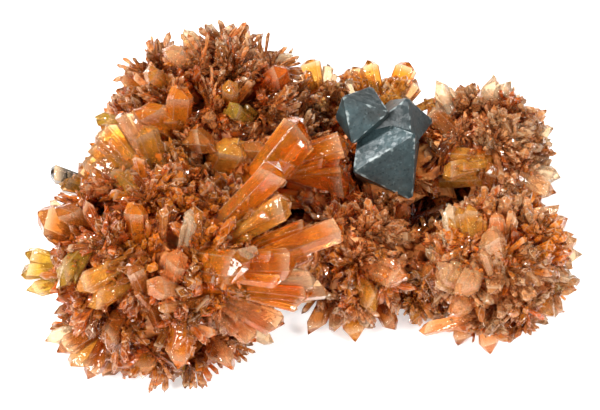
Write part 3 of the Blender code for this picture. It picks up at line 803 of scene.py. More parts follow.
def repeated(crystals, count, names):
    """The named arrays of a batch, with each crystal's row repeated."""
    return [np.repeat(crystals[name], count, axis=0) for name in names.split()]


def side_crystals(crystals, kind, seed):
    """Side crystals of each prism, nearly parallel to it: each starts at a share of the
    prism's length, pushed off its axis to a random side, fans out from it, and is thinner
    and shorter."""
    rng = np.random.default_rng(seed)
    count, near, far, spread = SIDES[kind]
    spray, root, tip, tone = repeated(crystals, count, "spray root tip tone")
    axis, wide, thick = repeated(crystals, count, "axis wide thick")
    width, thickness = repeated(crystals, count, "width thickness")
    total = len(axis)
    around = rng.uniform(0.0, 2.0 * math.pi, total)
    share = rng.uniform(near, far, total)
    off = wide * (width * share * np.cos(around))[:, None]
    off += thick * (thickness * share * np.sin(around))[:, None]
    lean = unit(axis + rng.normal(0.0, spread, (total, 3)) + SIDE_FLARE * spread * unit(off))
    length = np.linalg.norm(tip - root, axis=1)
    behind = length - width * rng.uniform(0.0, 1.0, total)
    behind -= length * rng.exponential(SIDE_BEHIND, total)
    behind = np.clip(behind, length * SIDE_LENGTH[0], length * SIDE_LENGTH[1])
    wider = width * rng.uniform(*SIDE_WIDTH, total)
    if kind == "plain":
        wider *= PLAIN_SIDE_GROWTH
    foot = root + off + axis * (SIDE_START * length)[:, None]
    return batch(
        spray,
        foot,
        foot + lean * (behind - SIDE_START * length)[:, None],
        wider,
        wider * rng.uniform(*PLAIN_THICKNESS, total),
        rng.uniform(-SIDE_TURN, SIDE_TURN, total),
        random_shapes(rng, total) * (1.0 if kind == "large" else TIER_SHAPE),
        np.clip(tone * rng.uniform(*SIDE_LIGHT, (total, 1)), 0.0, TONE_TOP),
    )


def crust_crystals(large, seed):
    """Small crystals on the inner part of the large ones that lie on the druse: each stands
    at a random share of the length and a random side of the section, and leans outward and
    toward the tip."""
    rng = np.random.default_rng(seed)
    lying = chosen(large, (large["tip"] != large["shown"]).any(axis=1))
    spray, tip, shown = repeated(lying, CRUST_COUNT, "spray tip shown")
    axis, wide, thick = repeated(lying, CRUST_COUNT, "axis wide thick")
    width, thickness = repeated(lying, CRUST_COUNT, "width thickness")
    total = len(axis)
    length = np.linalg.norm(tip - shown, axis=1)
    share = CRUST_FROM + (1.0 - CRUST_FROM) * rng.random(total) ** CRUST_GATHER
    around = rng.uniform(0.0, 2.0 * math.pi, total)
    x, y = np.cos(around), np.sin(around)
    out = unit(wide * x[:, None] + thick * y[:, None])
    place = tip - axis * (length * share)[:, None]
    off_wide = wide * (CRUST_SEAT * width * x)[:, None]
    place += off_wide + thick * (CRUST_SEAT * thickness * y)[:, None]
    lean = out + axis * rng.uniform(*CRUST_LEAN, (total, 1))
    lean = unit(lean + rng.normal(0.0, CRUST_SCATTER, (total, 3)))
    size = width * rng.uniform(*CRUST_WIDTH, total)
    reach = size * rng.uniform(*CRUST_REACH, total)
    own = spray_tones(rng, CRUST_TONE, place, rng.uniform(0.0, STAR_EDGE, total))
    return batch(
        spray,
        place - lean * size[:, None],
        place + lean * reach[:, None],
        size,
        size * rng.uniform(*TIER_THICKNESS, total),
        rng.uniform(0.0, 180.0, total),
        random_shapes(rng, total) * TIER_SHAPE,
        own,
    )


def in_hollow(places, depth):
    """How far each place (mm) is into a hollow, darkened by painted shade, from 0 at the rim and
    outside to 1 on the line of sight through its middle. Places behind their spray's middle give 0."""
    away = places - AIM
    across = away @ VIEW_RIGHT
    up = away @ VIEW_UP
    inside = np.zeros(len(places))
    for pixel, radius in HOLLOWS:
        x, y = in_picture(pixel)
        near = ((across - x) ** 2 + (up - y) ** 2) / radius**2
        inside = np.maximum(inside, 1.0 - near)
    return np.where(away @ TO_VIEWER > depth, inside, 0.0)


def spray_tones(rng, names, places, off):
    """Tones that drift over a spray: how far off the middle of its star a crystal stands,
    a slow ripple of the place (mm) and a little of the crystal's own pick a spot along the
    row of named tones. Some are lighter or darker. The spot stays just under the last tone,
    so that there is always a next one."""
    rows = np.array([TONES[n] for n in names.split()])
    drift = TONE_START + TONE_RISE * off
    drift += TONE_DRIFT * ripple_sum(places, SEEDS["drift"], TONE_TURNS, TONE_STEPS)
    spot = (drift + rng.normal(0.0, TONE_JITTER, len(places))) * (len(rows) - 1)
    spot = np.clip(spot, 0.0, len(rows) - 1.001)
    low = spot.astype(int)
    share = (spot - low)[:, None]
    mixed = rows[low] * (1.0 - share) + rows[low + 1] * share
    return np.clip(mixed * rng.uniform(*TONE_LIGHT, (len(places), 1)), 0.0, TONE_TOP)


def plain_crystals(large):
    """The crystals spread evenly over the sprays, drawn in the same order as the solids,
    slimmer and more pointed."""
    rng = np.random.default_rng(SEEDS["plain"])
    tones = np.random.default_rng(SEEDS["plain_tones"])
    rows = []
    for k, (_, _, radius, count, _, _, _) in enumerate(SPRAYS.values()):
        for way in even_directions(count):
            way = way + rng.normal(0.0, PLAIN_JITTER, 3)
            reach = radius * rng.uniform(*PLAIN_REACH)
            width = math.sqrt(radius) * rng.uniform(*PLAIN_WIDTH)
            thickness = width * rng.uniform(*PLAIN_THICKNESS)
            turn = rng.uniform(0.0, 180.0)
            rows.append((k, *way, reach, width, thickness, turn, *random_shapes(rng, 1)[0]))
    rows = np.array(rows)
    spray = rows[:, 0].astype(int)
    way = unit(rows[:, 1:4])
    centre = CENTRES[spray]
    tip = centre + way * rows[:, 4:5]
    keep = ~crowded(tip, rows[:, 5], spray, large, CROWDING * RADII, FLOOR_CLEARANCE)
    for pixel, depth, edge, _, _ in FLUORITES:
        away = np.linalg.norm(tip - to_world(pixel, depth), axis=1)
        keep &= away >= FLUORITE_CROWDING * edge
    root = centre + way * RADII[spray][:, None] * PLAIN_ROOT
    tone = np.zeros((len(rows), 3))
    for k, row in enumerate(SPRAYS.values()):
        own = spray == k
        _, off = star_hubs(k, way[own])
        tone[own] = spray_tones(tones, row[6], tip[own], off)
    slim, thin = PLAIN_SLIMMING * rows[:, 5], PLAIN_SLIMMING * rows[:, 6]
    shape = rows[:, 8:12] * TIER_SHAPE
    made = batch(spray, root, tip, slim, thin, rows[:, 7], shape, tone)
    return chosen(made, keep)


def star_places(k):
    """Directions and radii (mm) of a spray's stars: the named ones where the line of sight
    through their pixel meets the ball, then even ones that keep clear of them, as many as
    their discs go into the ball's surface."""
    centre, radius = CENTRES[k], RADII[k]
    named = list(STARS.values())[k]
    rng = np.random.default_rng(SEEDS["stars"] + k)
    sizes = np.array([s for _, s in named])
    side = to_world([p for p, _ in named], DEPTHS[k]) - centre
    short = np.sqrt(np.maximum(radius**2 - (side**2).sum(axis=1), 0.0))
    ways = unit(side + TO_VIEWER * short[:, None])
    count = int(4.0 * radius**2 / PLAIN_STAR**2)
    even = unit(even_directions(count) + rng.normal(0.0, STAR_SCATTER, (count, 3)))
    angle = np.arccos(np.clip(even @ ways.T, -1.0, 1.0)) * radius
    even = even[(angle > STAR_CLEAR * (sizes + PLAIN_STAR)).all(axis=1)]
    ways = np.concatenate([ways, even])
    return ways, np.concatenate([sizes, np.full(len(even), PLAIN_STAR)])


def star_hubs(k, ways):
    """For each direction from a spray's centre, the hub (mm) of the nearest star and how
    far off its middle the direction is, over the star's radius."""
    stars, sizes = star_places(k)
    away = np.arccos(np.clip(ways @ stars.T, -1.0, 1.0)) * RADII[k] / sizes
    star = away.argmin(axis=1)
    hub = CENTRES[k] + stars[star] * (RADII[k] - STAR_DEPTH * sizes[star])[:, None]
    return hub, np.minimum(away.min(axis=1), STAR_EDGE)


def tier_crystals(large, tier, seed):
    """Smaller prisms all over the sprays, in stars: each points away from a hub under the
    middle of the nearest star, and is thicker toward its rim. The finest sink into the
    hollows, darkened there by painted shade, and the others stay out of them."""
    per_area, scale, low, high, floor = TIERS[tier]
    fine = tier == "fine"
    shown = SHOWN_DEPTH_FINE if fine else SHOWN_DEPTH
    balls = TIER_CROWDING * RADII * FILLS
    rng = np.random.default_rng(seed)
    parts = []
    for k, (_, _, radius, _, grain, fill, tones) in enumerate(SPRAYS.values()):
        count = int(4.0 * math.pi * radius * radius * per_area * TIER_GRAIN / grain)
        way = unit(even_directions(count) + rng.normal(0.0, TIER_JITTER, (count, 3)))
        hub, off = star_hubs(k, way)
        crown = low + (high - low) * rng.random(count) ** TIER_CROWNS
        reach = radius * fill * (crown - STAR_DROP * off**2)
        tip = CENTRES[k] + way * reach[:, None]
        inside = in_hollow(tip, DEPTHS[k])
        if fine:
            tip = tip - way * (radius * HOLLOW_DEPTH * np.sqrt(inside))[:, None]
        length = np.linalg.norm(tip - hub, axis=1) * TIER_LENGTH
        lean = unit(tip - hub) + TIER_UPRIGHT * way + rng.normal(0.0, TIER_LEAN, (count, 3))
        lean = unit(lean)
        root = tip - lean * length[:, None]
        width = grain * scale * np.exp(rng.normal(0.0, TIER_SPREAD, count))
        width *= STAR_GROWTH[0] + STAR_GROWTH[1] * off
        # In the hollows the finest crystals' tone is darkened: painted shade
        made = batch(
            np.full(count, k),
            root,
            tip,
            width,
            width * rng.uniform(*TIER_THICKNESS, count),
            rng.uniform(0.0, 180.0, count),
            random_shapes(rng, count) * TIER_SHAPE,
            spray_tones(rng, tones, tip, off) * (1.0 - PAINTED_HOLLOW_SHADE * inside)[:, None],
        )
        made["taper"] = np.full(count, TIER_TAPER)
        keep = ~crowded(tip, width * TIER_ELBOW, made["spray"], large, balls, floor)
        for share in TIER_PLACES:
            keep &= ~in_fluorite(tip + (root - tip) * share, FLUORITE_GAP)
        keep &= ((inside <= 0.0) | fine) & ~covers(tip, width, large, shown)
        parts.append(chosen(made, keep))
    return {name: np.concatenate([p[name] for p in parts]) for name in parts[0]}


def crystal_batches():
    """All crystals, as batches by the middle of their piece's name. Plain ones, side ones
    and crust stay out of the hollows."""
    large = large_crystals()
    batches = {
        "large": chosen(large, large["blunt"]),
        "leaf": chosen(large, ~large["blunt"]),
        "plain": plain_crystals(large),
    }
    for step, tier in enumerate(TIERS):
        batches[tier] = tier_crystals(large, tier, SEEDS["tiers"] + step)
    for step, kind in enumerate(SIDES):
        batches[kind + "_side"] = side_crystals(batches[kind], kind, SEEDS["sides"] + step)
    batches["crust"] = crust_crystals(large, SEEDS["crust"])
    for kind in ("plain", "plain_side", "middle_side", "crust"):
        rows = batches[kind]
        batches[kind] = chosen(rows, in_hollow(rows["tip"], DEPTHS[rows["spray"]]) <= 0.0)
    return batches


# Meshes


def side_faces(count):
    """Four-sided faces between a ring of points and the ring after it."""
    return [(n, (n + 1) % count, (n + 1) % count + count, n + count) for n in range(count)]


# Faces of a prism on the points of prism_points: the sides, the two gable planes, the two
# ends under the ridge and the root. Then where each of their corners is on its face, from
# -1 to 1 across and along it, so that -1 and 1 are its edges
PRISM_FACES = [
    *side_faces(6),
    *[(6, 7, 13, 12, 11), (8, 9, 10, 12, 13)],
    *[(7, 8, 13), (10, 11, 12)],
    (5, 4, 3, 2, 1, 0),
]
PRISM_RIMS = [
    *[(-1, 0), (1, 0), (1, 1), (-1, 1)] * 6,
    *[(0, -1), (-1, -0.6), (-1, 1), (1, 1), (1, -0.6)],
    *[(-1, -0.6), (0, -1), (1, -0.6), (1, 1), (-1, 1)],
    *[(-1, 0), (1, 0), (0, 1)] * 2,
    *[(0, 0)] * 6,
]

# The same for a spike on the points of spike_points: sides, pyramid and root. Then the
# corners of its section, and how many widths its shoulder is under the tip
SPIKE_FACES = [
    *side_faces(4),
    *[(n + 4, (n + 1) % 4 + 4, 8) for n in range(4)],
    (3, 2, 1, 0),
]
SPIKE_RIMS = [
    *[(-1, 0), (1, 0), (1, 1), (-1, 1)] * 4,
    *[(-1, 0), (1, 0), (0, 1)] * 4,
    *[(0, 0)] * 4,
]
SPIKE_SECTION = np.array([(-0.5, -0.5), (0.5, -0.5), (0.5, 0.5), (-0.5, 0.5)])
SPIKE_FALL = 1.4


def prism_points(crystals):
    """Points of every prism: a root ring and a shoulder ring of the six-sided section, the
    shoulder at the height of two gable planes that fall away from the ridge, then the two
    ends of the ridge. Returns points (count, 14, 3) in mm."""
    shift, fall_left, fall_right, ridge = crystals["shape"].T[:, :, None]
    width = crystals["width"][:, None]
    thickness = crystals["thickness"][:, None]
    length = np.linalg.norm(crystals["tip"] - crystals["root"], axis=1)[:, None]
    x = SECTION[:, 0] * width
    y = SECTION[:, 1] * thickness
    ridge_x = shift * width * 0.5
    fall = np.where(x < ridge_x, fall_left, fall_right)
    height = length - fall * np.abs(x - ridge_x)
    wide, thick, axis = (crystals[n][:, None, :] for n in ("wide", "thick", "axis"))
    root = crystals["root"][:, None, :]
    flat = wide * x[..., None] + thick * y[..., None]
    lower = root + flat * crystals["taper"][:, None, None]
    upper = root + flat + axis * height[..., None]
    ends = np.array([-0.5, 0.5])[None, :] * thickness * ridge
    top = crystals["tip"][:, None, :] + wide * ridge_x[..., None] + thick * ends[..., None]
    return np.concatenate([lower, upper, top], axis=1)


def spike_points(crystals):
    """Points of slender four-sided prisms with a pyramid at the tip: a root ring, a shoulder
    ring some widths under the tip, and the tip. Returns points (count, 9, 3) in mm."""
    x = SPIKE_SECTION[:, 0] * crystals["width"][:, None]
    y = SPIKE_SECTION[:, 1] * crystals["thickness"][:, None]
    wide, thick, axis = (crystals[n][:, None, :] for n in ("wide", "thick", "axis"))
    flat = wide * x[..., None] + thick * y[..., None]
    lower = crystals["root"][:, None, :] + flat * crystals["taper"][:, None, None]
    fall = SPIKE_FALL * crystals["width"][:, None, None]
    upper = crystals["tip"][:, None, :] + flat - axis * fall
    return np.concatenate([lower, upper, crystals["tip"][:, None, :]], axis=1)


def mesh_object(name, points, sizes, corners, material, attributes=None, rims=None):
    """A flat-shaded object from points (m), the number of corners of each face and the
    corners. Attributes are (kind, values) by name, one value for each point; rims are two
    numbers for each corner, from -1 to 1 over its face, kept as a UV map."""
    mesh = bpy.data.meshes.new(name)
    mesh.vertices.add(len(points))
    mesh.vertices.foreach_set("co", np.ascontiguousarray(points, np.float32).ravel())
    mesh.loops.add(len(corners))
    mesh.loops.foreach_set("vertex_index", np.ascontiguousarray(corners, np.int32))
    mesh.polygons.add(len(sizes))
    starts = np.concatenate([[0], np.cumsum(sizes)[:-1]])
    mesh.polygons.foreach_set("loop_start", starts.astype(np.int32))
    mesh.polygons.foreach_set("use_smooth", np.zeros(len(sizes), bool))
    mesh.update(calc_edges=True)
    for key, (kind, values) in (attributes or {}).items():
        layer = mesh.attributes.new(key, kind, "POINT")
        field = {"FLOAT_COLOR": "color", "FLOAT_VECTOR": "vector"}.get(kind, "value")
        layer.data.foreach_set(field, np.ascontiguousarray(values, np.float32).ravel())
    if rims is not None:
        layer = mesh.uv_layers.new(name="rim")
        layer.data.foreach_set("uv", np.ascontiguousarray(rims, np.float32).ravel())
    mesh.validate()
    mesh.materials.append(material)
    made = bpy.data.objects.new(name, mesh)
    bpy.context.scene.collection.objects.link(made)
    return made


def crystals_object(name, crystals, material, spikes):
    """One mesh of all prisms or spikes. Its attributes are the crystal's tone and width
    (mm), how far out a point is over the spray's reach, and the point's place across,
    through and along the crystal in widths; its UV map is the rims."""
    count = len(crystals["root"])
    points = spike_points(crystals) if spikes else prism_points(crystals)
    faces = SPIKE_FACES if spikes else PRISM_FACES
    each = points.shape[1]
    points[..., 2] = np.maximum(points[..., 2], 0.0)
    centre = CENTRES[crystals["spray"]][:, None, :]
    reach = (RADII * FILLS)[crystals["spray"]][:, None]
    out = np.linalg.norm(points - centre, axis=2) / reach
    corner_list = np.array([c for face in faces for c in face])
    corners = corner_list[None, :] + each * np.arange(count)[:, None]
    sizes = np.tile([len(face) for face in faces], count)
    tone = np.ones((count, each, 4))
    tone[..., :3] = crystals["tone"][:, None, :]
    rel = points - crystals["root"][:, None, :]
    along = [(rel * crystals[n][:, None, :]).sum(axis=2) for n in ("wide", "thick", "axis")]
    grain = np.stack(along, axis=2) / crystals["width"][:, None, None]
    grain += GRAIN_SHIFT * (np.arange(count) % GRAIN_KINDS)[:, None, None]
    width = np.repeat(crystals["width"][:, None], each, axis=1)
    attributes = {
        "tone": ("FLOAT_COLOR", tone),
        "out": ("FLOAT", out),
        "grain": ("FLOAT_VECTOR", grain),
        "width": ("FLOAT", width),
    }
    flat = points.reshape(-1, 3) * MM
    rims = np.tile(SPIKE_RIMS if spikes else PRISM_RIMS, (count, 1))
    return mesh_object(name, flat, sizes, corners.ravel(), material, attributes, rims)


def ball_grid(rings, spokes):
    """Directions over a ball on a grid of rings and spokes, with triangles between them and
    a single point at each pole: the sine of the angle from the pole times the cosine and
    the sine of the angle around, and the cosine of the first."""
    v = np.linspace(0.0, math.pi, rings + 1)[1:-1, None]
    u = np.linspace(0.0, 2.0 * math.pi, spokes, endpoint=False)[None, :]
    ring = np.stack([np.sin(v) * np.cos(u), np.sin(v) * np.sin(u), np.cos(v) + 0.0 * u], axis=2)
    ways = np.concatenate([ring.reshape(-1, 3), [(0.0, 0.0, 1.0), (0.0, 0.0, -1.0)]])
    i = np.arange(rings - 2)[:, None] * spokes
    j = np.arange(spokes)[None, :]
    right = (j + 1) % spokes
    one = np.stack([i + j, i + spokes + j, i + spokes + right], axis=2).reshape(-1, 3)
    two = np.stack([i + j, i + spokes + right, i + right], axis=2).reshape(-1, 3)
    last = (rings - 2) * spokes
    north = np.full(spokes, len(ways) - 2)
    top = np.stack([north, j[0], right[0]], axis=1)
    bottom = np.stack([north + 1, last + right[0], last + j[0]], axis=1)
    return ways, np.concatenate([one, two, top, bottom])


def ripple_sum(points, seed, turns, steps):
    """A rough even noise from -1 to 1: sines in random directions, finer and lower in
    each step. Points are in mm, turns is the coarsest number of waves per mm."""
    rng = np.random.default_rng(seed)
    total = np.zeros(len(points))
    height = 0.0
    for step in range(steps):
        ways = unit(rng.normal(size=(WAVES, 3)))
        phase = rng.uniform(0.0, 2.0 * math.pi, WAVES)
        share = WAVE_FALL**step
        waves = np.sin(2.0 * math.pi * turns * WAVE_GROWTH**step * (points @ ways.T) + phase)
        total += share * waves.mean(axis=1)
        height += share
    return total / height


def cores_object(name, material, rings):
    """Lumpy balls inside the sprays that close the view between the crystals: a share of
    the radius, swollen by a ripple and sunk at the hollows, which also mark where painted shade
    goes."""
    ways, faces = ball_grid(rings, 2 * rings)
    points = []
    pits = []
    for k, (centre, radius, fill) in enumerate(zip(CENTRES, RADII, FILLS)):
        base = centre + ways * radius * CORE_SHARE
        ripple = ripple_sum(base, SEEDS["druse"] + k, CORE_TURNS, CORE_STEPS)
        swell = 1.0 + CORE_SWELL * ripple
        pit_and_painted_shade = np.sqrt(in_hollow(base, DEPTHS[k] - CORE_PITS_FROM * radius))
        reach = radius * (CORE_SHARE * fill * swell - HOLLOW_DEPTH * pit_and_painted_shade)
        place = centre + ways * reach[:, None]
        place[:, 2] = np.maximum(place[:, 2], CORE_FLOOR)
        points.append(place)
        pits.append(pit_and_painted_shade)
    # How deep each point sits in a hollow: also the mask of the painted shade there
    extra = {"pit_and_painted_shade": np.concatenate(pits)}
    return joined_triangles(name, points, [faces] * len(points), material, extra)


def joined_triangles(name, points, faces, material, attributes=None):
    """One mesh of several shells of triangles, given in mm; points that fall together are
    made one. Attributes are numbers by name, one for each point."""
    starts = np.cumsum([0] + [len(p) for p in points[:-1]])
    corners = np.concatenate([f + s for f, s in zip(faces, starts)])
    points = np.concatenate(points)
    _, first, index = np.unique(
        np.round(points / WELD).astype(np.int64), axis=0, return_index=True, return_inverse=True
    )
    corners = index.ravel()[corners]
    whole = (corners != np.roll(corners, 1, axis=1)).all(axis=1)
    corners = corners[whole]
    sizes = np.full(len(corners), 3)
    kept = {key: ("FLOAT", values[first]) for key, values in (attributes or {}).items()}
    return mesh_object(name, points[first] * MM, sizes, corners.ravel(), material, kept)


def octahedron_axes(turn, lean):
    """The three axes of an octahedron whose front face is turned in the picture and leans
    up or down (degrees), as unit vectors through its corners: the face's direction plus
    the square root of two times a direction in the face, at three even angles."""
    turn, lean = math.radians(turn), math.radians(lean)
    upright = VIEW_UP * math.cos(turn) - VIEW_RIGHT * math.sin(turn)
    front = TO_VIEWER * math.cos(lean) + upright * math.sin(lean)
    up = upright * math.cos(lean) - TO_VIEWER * math.sin(lean)
    side = np.cross(up, front)
    angles = np.radians([180.0, 300.0, 60.0])
    around = np.cos(angles)[:, None] * up + np.sin(angles)[:, None] * side
    return unit(around * math.sqrt(2.0) + front)


def octahedron_face(steps):
    """A triangle as a grid of two shares s and t with s + t up to one: three shares for
    each point, and the triangles between them, two for each cell and one at the slant."""
    a, b = np.divmod(np.arange((steps + 1) ** 2), steps + 1)
    inside = a + b <= steps
    a, b = a[inside], b[inside]
    index = np.zeros((steps + 2, steps + 2), int)
    index[a, b] = np.arange(len(a))
    right, above, corner = index[a + 1, b], index[a, b + 1], index[a + 1, b + 1]
    near = np.stack([index[a, b], right, above], axis=1)
    far = np.stack([right, corner, above], axis=1)
    faces = np.stack([near, far], axis=1).reshape(-1, 3)
    kept = np.stack([a + b < steps, a + b < steps - 1], axis=1).ravel()
    return np.stack([a, b, steps - a - b], axis=1) / steps, faces[kept]


def fluorite_object(name, material, steps, etch):
    """The octahedra: every point is the sum of three shares along the axes, held under the
    cut corners, then etched inward by a fine ripple that deepens toward the edges."""
    shares, faces = octahedron_face(steps)
    points = []
    corners = []
    rims = []
    shades = []
    for k, (pixel, depth, edge, turn, lean) in enumerate(FLUORITES):
        axes = octahedron_axes(turn, lean) * edge / math.sqrt(2.0)
        centre = to_world(pixel, depth)
        for octant in range(8):
            signs = np.array([1.0 - 2.0 * (octant >> n & 1) for n in range(3)])
            held = np.minimum(shares, 1.0 - CORNER_CUT)
            local = (held * signs) @ axes
            place = centre + local
            rough = ripple_sum(place, SEEDS["fluorite"], ETCH_TURNS, ETCH_STEPS)
            rim = 1.0 - 3.0 * shares.min(axis=1)
            sunk = etch * (ETCH_LEAST + rim**4) * (1.0 + rough)
            place = place - unit(local) * sunk[:, None]
            outward = np.linalg.det(axes * signs[:, None]) > 0.0
            corners.append(faces if outward else faces[:, ::-1])
            points.append(place)
            rims.append(rim)
            shades.append(np.full(len(rim), FLUORITE_SHADES[k]))
    extra = {"rim": np.concatenate(rims), "shade": np.concatenate(shades)}
    return joined_triangles(name, points, corners, material, extra)


def rock_object(name, material):
    """The rock: an ellipsoid with the source's ripples and a finer roughness, flattened at
    the floor."""
    ways, faces = ball_grid(ROCK_RINGS, 3 * ROCK_RINGS)
    place = ways * ROCK_HALF
    swell = np.ones(len(place))
    for turns, phase, height in ROCK_RIPPLES:
        swell += height * np.sin(2.0 * math.pi * MM * (place @ np.array(turns)) + phase)
    fine = ripple_sum(place, SEEDS["rock"], ROCK_TURNS, ROCK_STEPS)
    place = place * (swell + ROCK_LUMPS * fine)[:, None]
    place += np.array([AIM[0] + ROCK_CENTRE[0], AIM[1] + ROCK_CENTRE[1], 0.0])
    place[:, 2] = np.maximum(place[:, 2], 0.0)
    return joined_triangles(name, [place], [faces], material)


# Materials


def new_material(name):
    """A material, its node tree, its Principled shader and the place on the piece."""
    made = bpy.data.materials.new(name)
    made.use_nodes = True
    tree = made.node_tree
    place = node(tree, "ShaderNodeTexCoord").outputs["Object"]
    return made, tree, tree.nodes["Principled BSDF"], place


def feed(tree, socket, value):
    """Give an input its value: a constant, or the socket that is linked to it."""
    if isinstance(value, bpy.types.NodeSocket):
        tree.links.new(value, socket)
    else:
        socket.default_value = value


def set_node(tree, made, **values):
    """Give a node its settings and inputs; an input's name has _ for each space."""
    for key, value in values.items():
        name = key.replace("_", " ")
        if name in made.inputs:
            feed(tree, made.inputs[name], value)
        else:
            setattr(made, key, value)
    return made


def node(tree, kind, **values):
    """A new node, filled in."""
    return set_node(tree, tree.nodes.new(kind), **values)


def calc(tree, operation, *values, vector=False, output=0):
    """An output of a Math or Vector Math node over its values, in their order."""
    kind = "ShaderNodeVectorMath" if vector else "ShaderNodeMath"
    made = node(tree, kind, operation=operation)
    for socket, value in zip(made.inputs, values):
        feed(tree, socket, value)
    return made.outputs[output]


def scaled(tree, place, factor):
    """A place times a factor."""
    made = node(tree, "ShaderNodeVectorMath", operation="SCALE", Vector=place, Scale=factor)
    return made.outputs[0]


def map_range(tree, value, source, target=(0.0, 1.0), kind="LINEAR"):
    """A number laid out from one span onto another and held within it."""
    made = node(tree, "ShaderNodeMapRange", interpolation_type=kind, Value=value)
    for end, limit in zip(("From Min", "From Max", "To Min", "To Max"), (*source, *target)):
        made.inputs[end].default_value = limit
    return made.outputs[0]


def bump(tree, height, strength, distance, under=None, inward=False):
    """The normal of a relief, of a distance (m) for each unit of height, over another."""
    made = node(tree, "ShaderNodeBump", invert=inward, Height=height, Strength=strength)
    made.inputs["Distance"].default_value = distance
    if under is not None:
        feed(tree, made.inputs["Normal"], under)
    return made.outputs[0]


def attribute(tree, key, output="Fac"):
    """The output socket of a mesh attribute."""
    return node(tree, "ShaderNodeAttribute", attribute_name=key).outputs[output]


def noise(tree, kind, place):
    """One of the named noises."""
    scale, detail, rough = NOISES[kind]
    values = {"Vector": place, "Scale": scale, "Detail": detail, "Roughness": rough}
    return node(tree, "ShaderNodeTexNoise", **values).outputs["Fac"]


def ramp(tree, source, stops):
    """A colour ramp over a number: stops are (place, colour)."""
    made = node(tree, "ShaderNodeValToRGB", Fac=source)
    while len(made.color_ramp.elements) < len(stops):
        made.color_ramp.elements.new(0.5)
    for element, (place, colour) in zip(made.color_ramp.elements, stops):
        element.position = place
        element.color = (*colour, 1.0)
    return made.outputs["Color"]


def mix_colour(tree, share, first, second, blend="MIX"):
    """A mix of two colours, each a socket or a value. A Mix node has its share at input 0,
    its colours at inputs 6 and 7, and the mixed colour at output 2."""
    made = node(tree, "ShaderNodeMix", data_type="RGBA", blend_type=blend)
    feed(tree, made.inputs[0], share)
    for slot, value in ((6, first), (7, second)):
        linked = isinstance(value, bpy.types.NodeSocket)
        feed(tree, made.inputs[slot], value if linked else (*value, 1.0))
    return made.outputs[2]


def multiplied(tree, colour, factor, share=1.0):
    """A colour times another one, by a share."""
    return mix_colour(tree, share, colour, factor, "MULTIPLY")


def facets(tree, place):
    """Small flat steps: each cell of a random pattern is a plane through its own middle,
    tilted by the cell's random colour. Returns their height and that colour."""
    cells = node(tree, "ShaderNodeTexVoronoi", Vector=place, Scale=1.0)
    away = calc(tree, "SUBTRACT", place, cells.outputs["Position"], vector=True)
    tilt = calc(tree, "SUBTRACT", cells.outputs["Color"], (0.5, 0.5, 0.5), vector=True)
    height = calc(tree, "DOT_PRODUCT", away, tilt, vector=True, output=1)
    return height, cells.outputs["Color"]


def rim_share(tree):
    """How near a point is to the edges of its face, from 0 inside to 1 on an edge: the
    larger of the two rim coordinates, with a soft step close to one."""
    rims = node(tree, "ShaderNodeUVMap", uv_map="rim").outputs[0]
    split = node(tree, "ShaderNodeSeparateXYZ", Vector=rims)
    across, along = (calc(tree, "ABSOLUTE", split.outputs[n]) for n in range(2))
    larger = calc(tree, "MAXIMUM", across, along)
    return map_range(tree, larger, (RIM_START, 1.0), kind="SMOOTHSTEP")


def creedite_material(name, look, transmission, sugar):
    """Translucent creedite: the crystal's tone, darkened toward the root deep in the spray by
    painted shade, so paler at the tip, with clouds inside, growth steps along the prism and a sugar
    of fine flat cells, which differ in tilt and brightness, the brightest painted as glints. Its
    outer edges are rounded and painted pale as a highlight."""
    made, tree, shader, place = new_material(name)
    out = attribute(tree, "out")
    cloud = noise(tree, "creedite", place)
    grains, shade = facets(tree, scaled(tree, place, SUGAR_PER_METRE))
    rim = rim_share(tree)

    # Painted shade: the tone darkens deep in the spray
    colour = multiplied(tree, attribute(tree, "tone", "Color"), ramp(tree, out, PAINTED_DEPTH_SHADE))
    colour = multiplied(tree, colour, ramp(tree, cloud, CLOUD_SHADES))
    # Sugar: darker cells, and the brightest painted as glints
    colour = multiplied(tree, colour, ramp(tree, shade, SUGAR_SHADES_AND_PAINTED_GLINTS), sugar)
    # Painted highlight: the outer crystals' edges are mixed toward a pale tone
    outer = map_range(tree, out, EDGE_OUT, (0.0, look.painted_edge_light))
    colour = mix_colour(tree, calc(tree, "MULTIPLY", rim, outer), colour, PAINTED_EDGE_HIGHLIGHT)

    grain = attribute(tree, "grain", "Vector")
    stretch = node(tree, "ShaderNodeMapping", Vector=grain, Scale=STEPS_PER_WIDTH)
    steps, _ = facets(tree, stretch.outputs[0])
    steps = calc(tree, "MULTIPLY", steps, attribute(tree, "width"))
    normal = bump(tree, steps, 1.0, look.growth_steps * MM)
    normal = bump(tree, grains, sugar, look.sugar / SUGAR_PER_METRE, normal)
    normal = bump(tree, rim, look.edge_rounding, EDGE_RELIEF, normal, inward=True)

    span = [factor * look.roughness for factor in ROUGH_SPAN]
    set_node(
        tree,
        shader,
        Base_Color=colour,
        Normal=normal,
        Roughness=map_range(tree, cloud, (0.0, 1.0), span),
        IOR=CREEDITE_IOR,
        Specular_IOR_Level=look.gloss,
        Transmission_Weight=transmission,
    )
    return made


def core_material(name):
    """Deep rust druse at the foot of the crystals, darkened in the hollows by painted shade."""
    made, tree, shader, place = new_material(name)
    spots = noise(tree, "druse", place)
    colour = ramp(tree, spots, DRUSE_COLOURS)
    # Painted shade in the hollows
    colour = mix_colour(tree, attribute(tree, "pit_and_painted_shade"), colour, PAINTED_PIT_SHADE)
    normal = bump(tree, spots, DRUSE_STRENGTH, DRUSE_RELIEF)
    set_node(tree, shader, Base_Color=colour, Normal=normal, Roughness=DRUSE_ROUGHNESS)
    return made


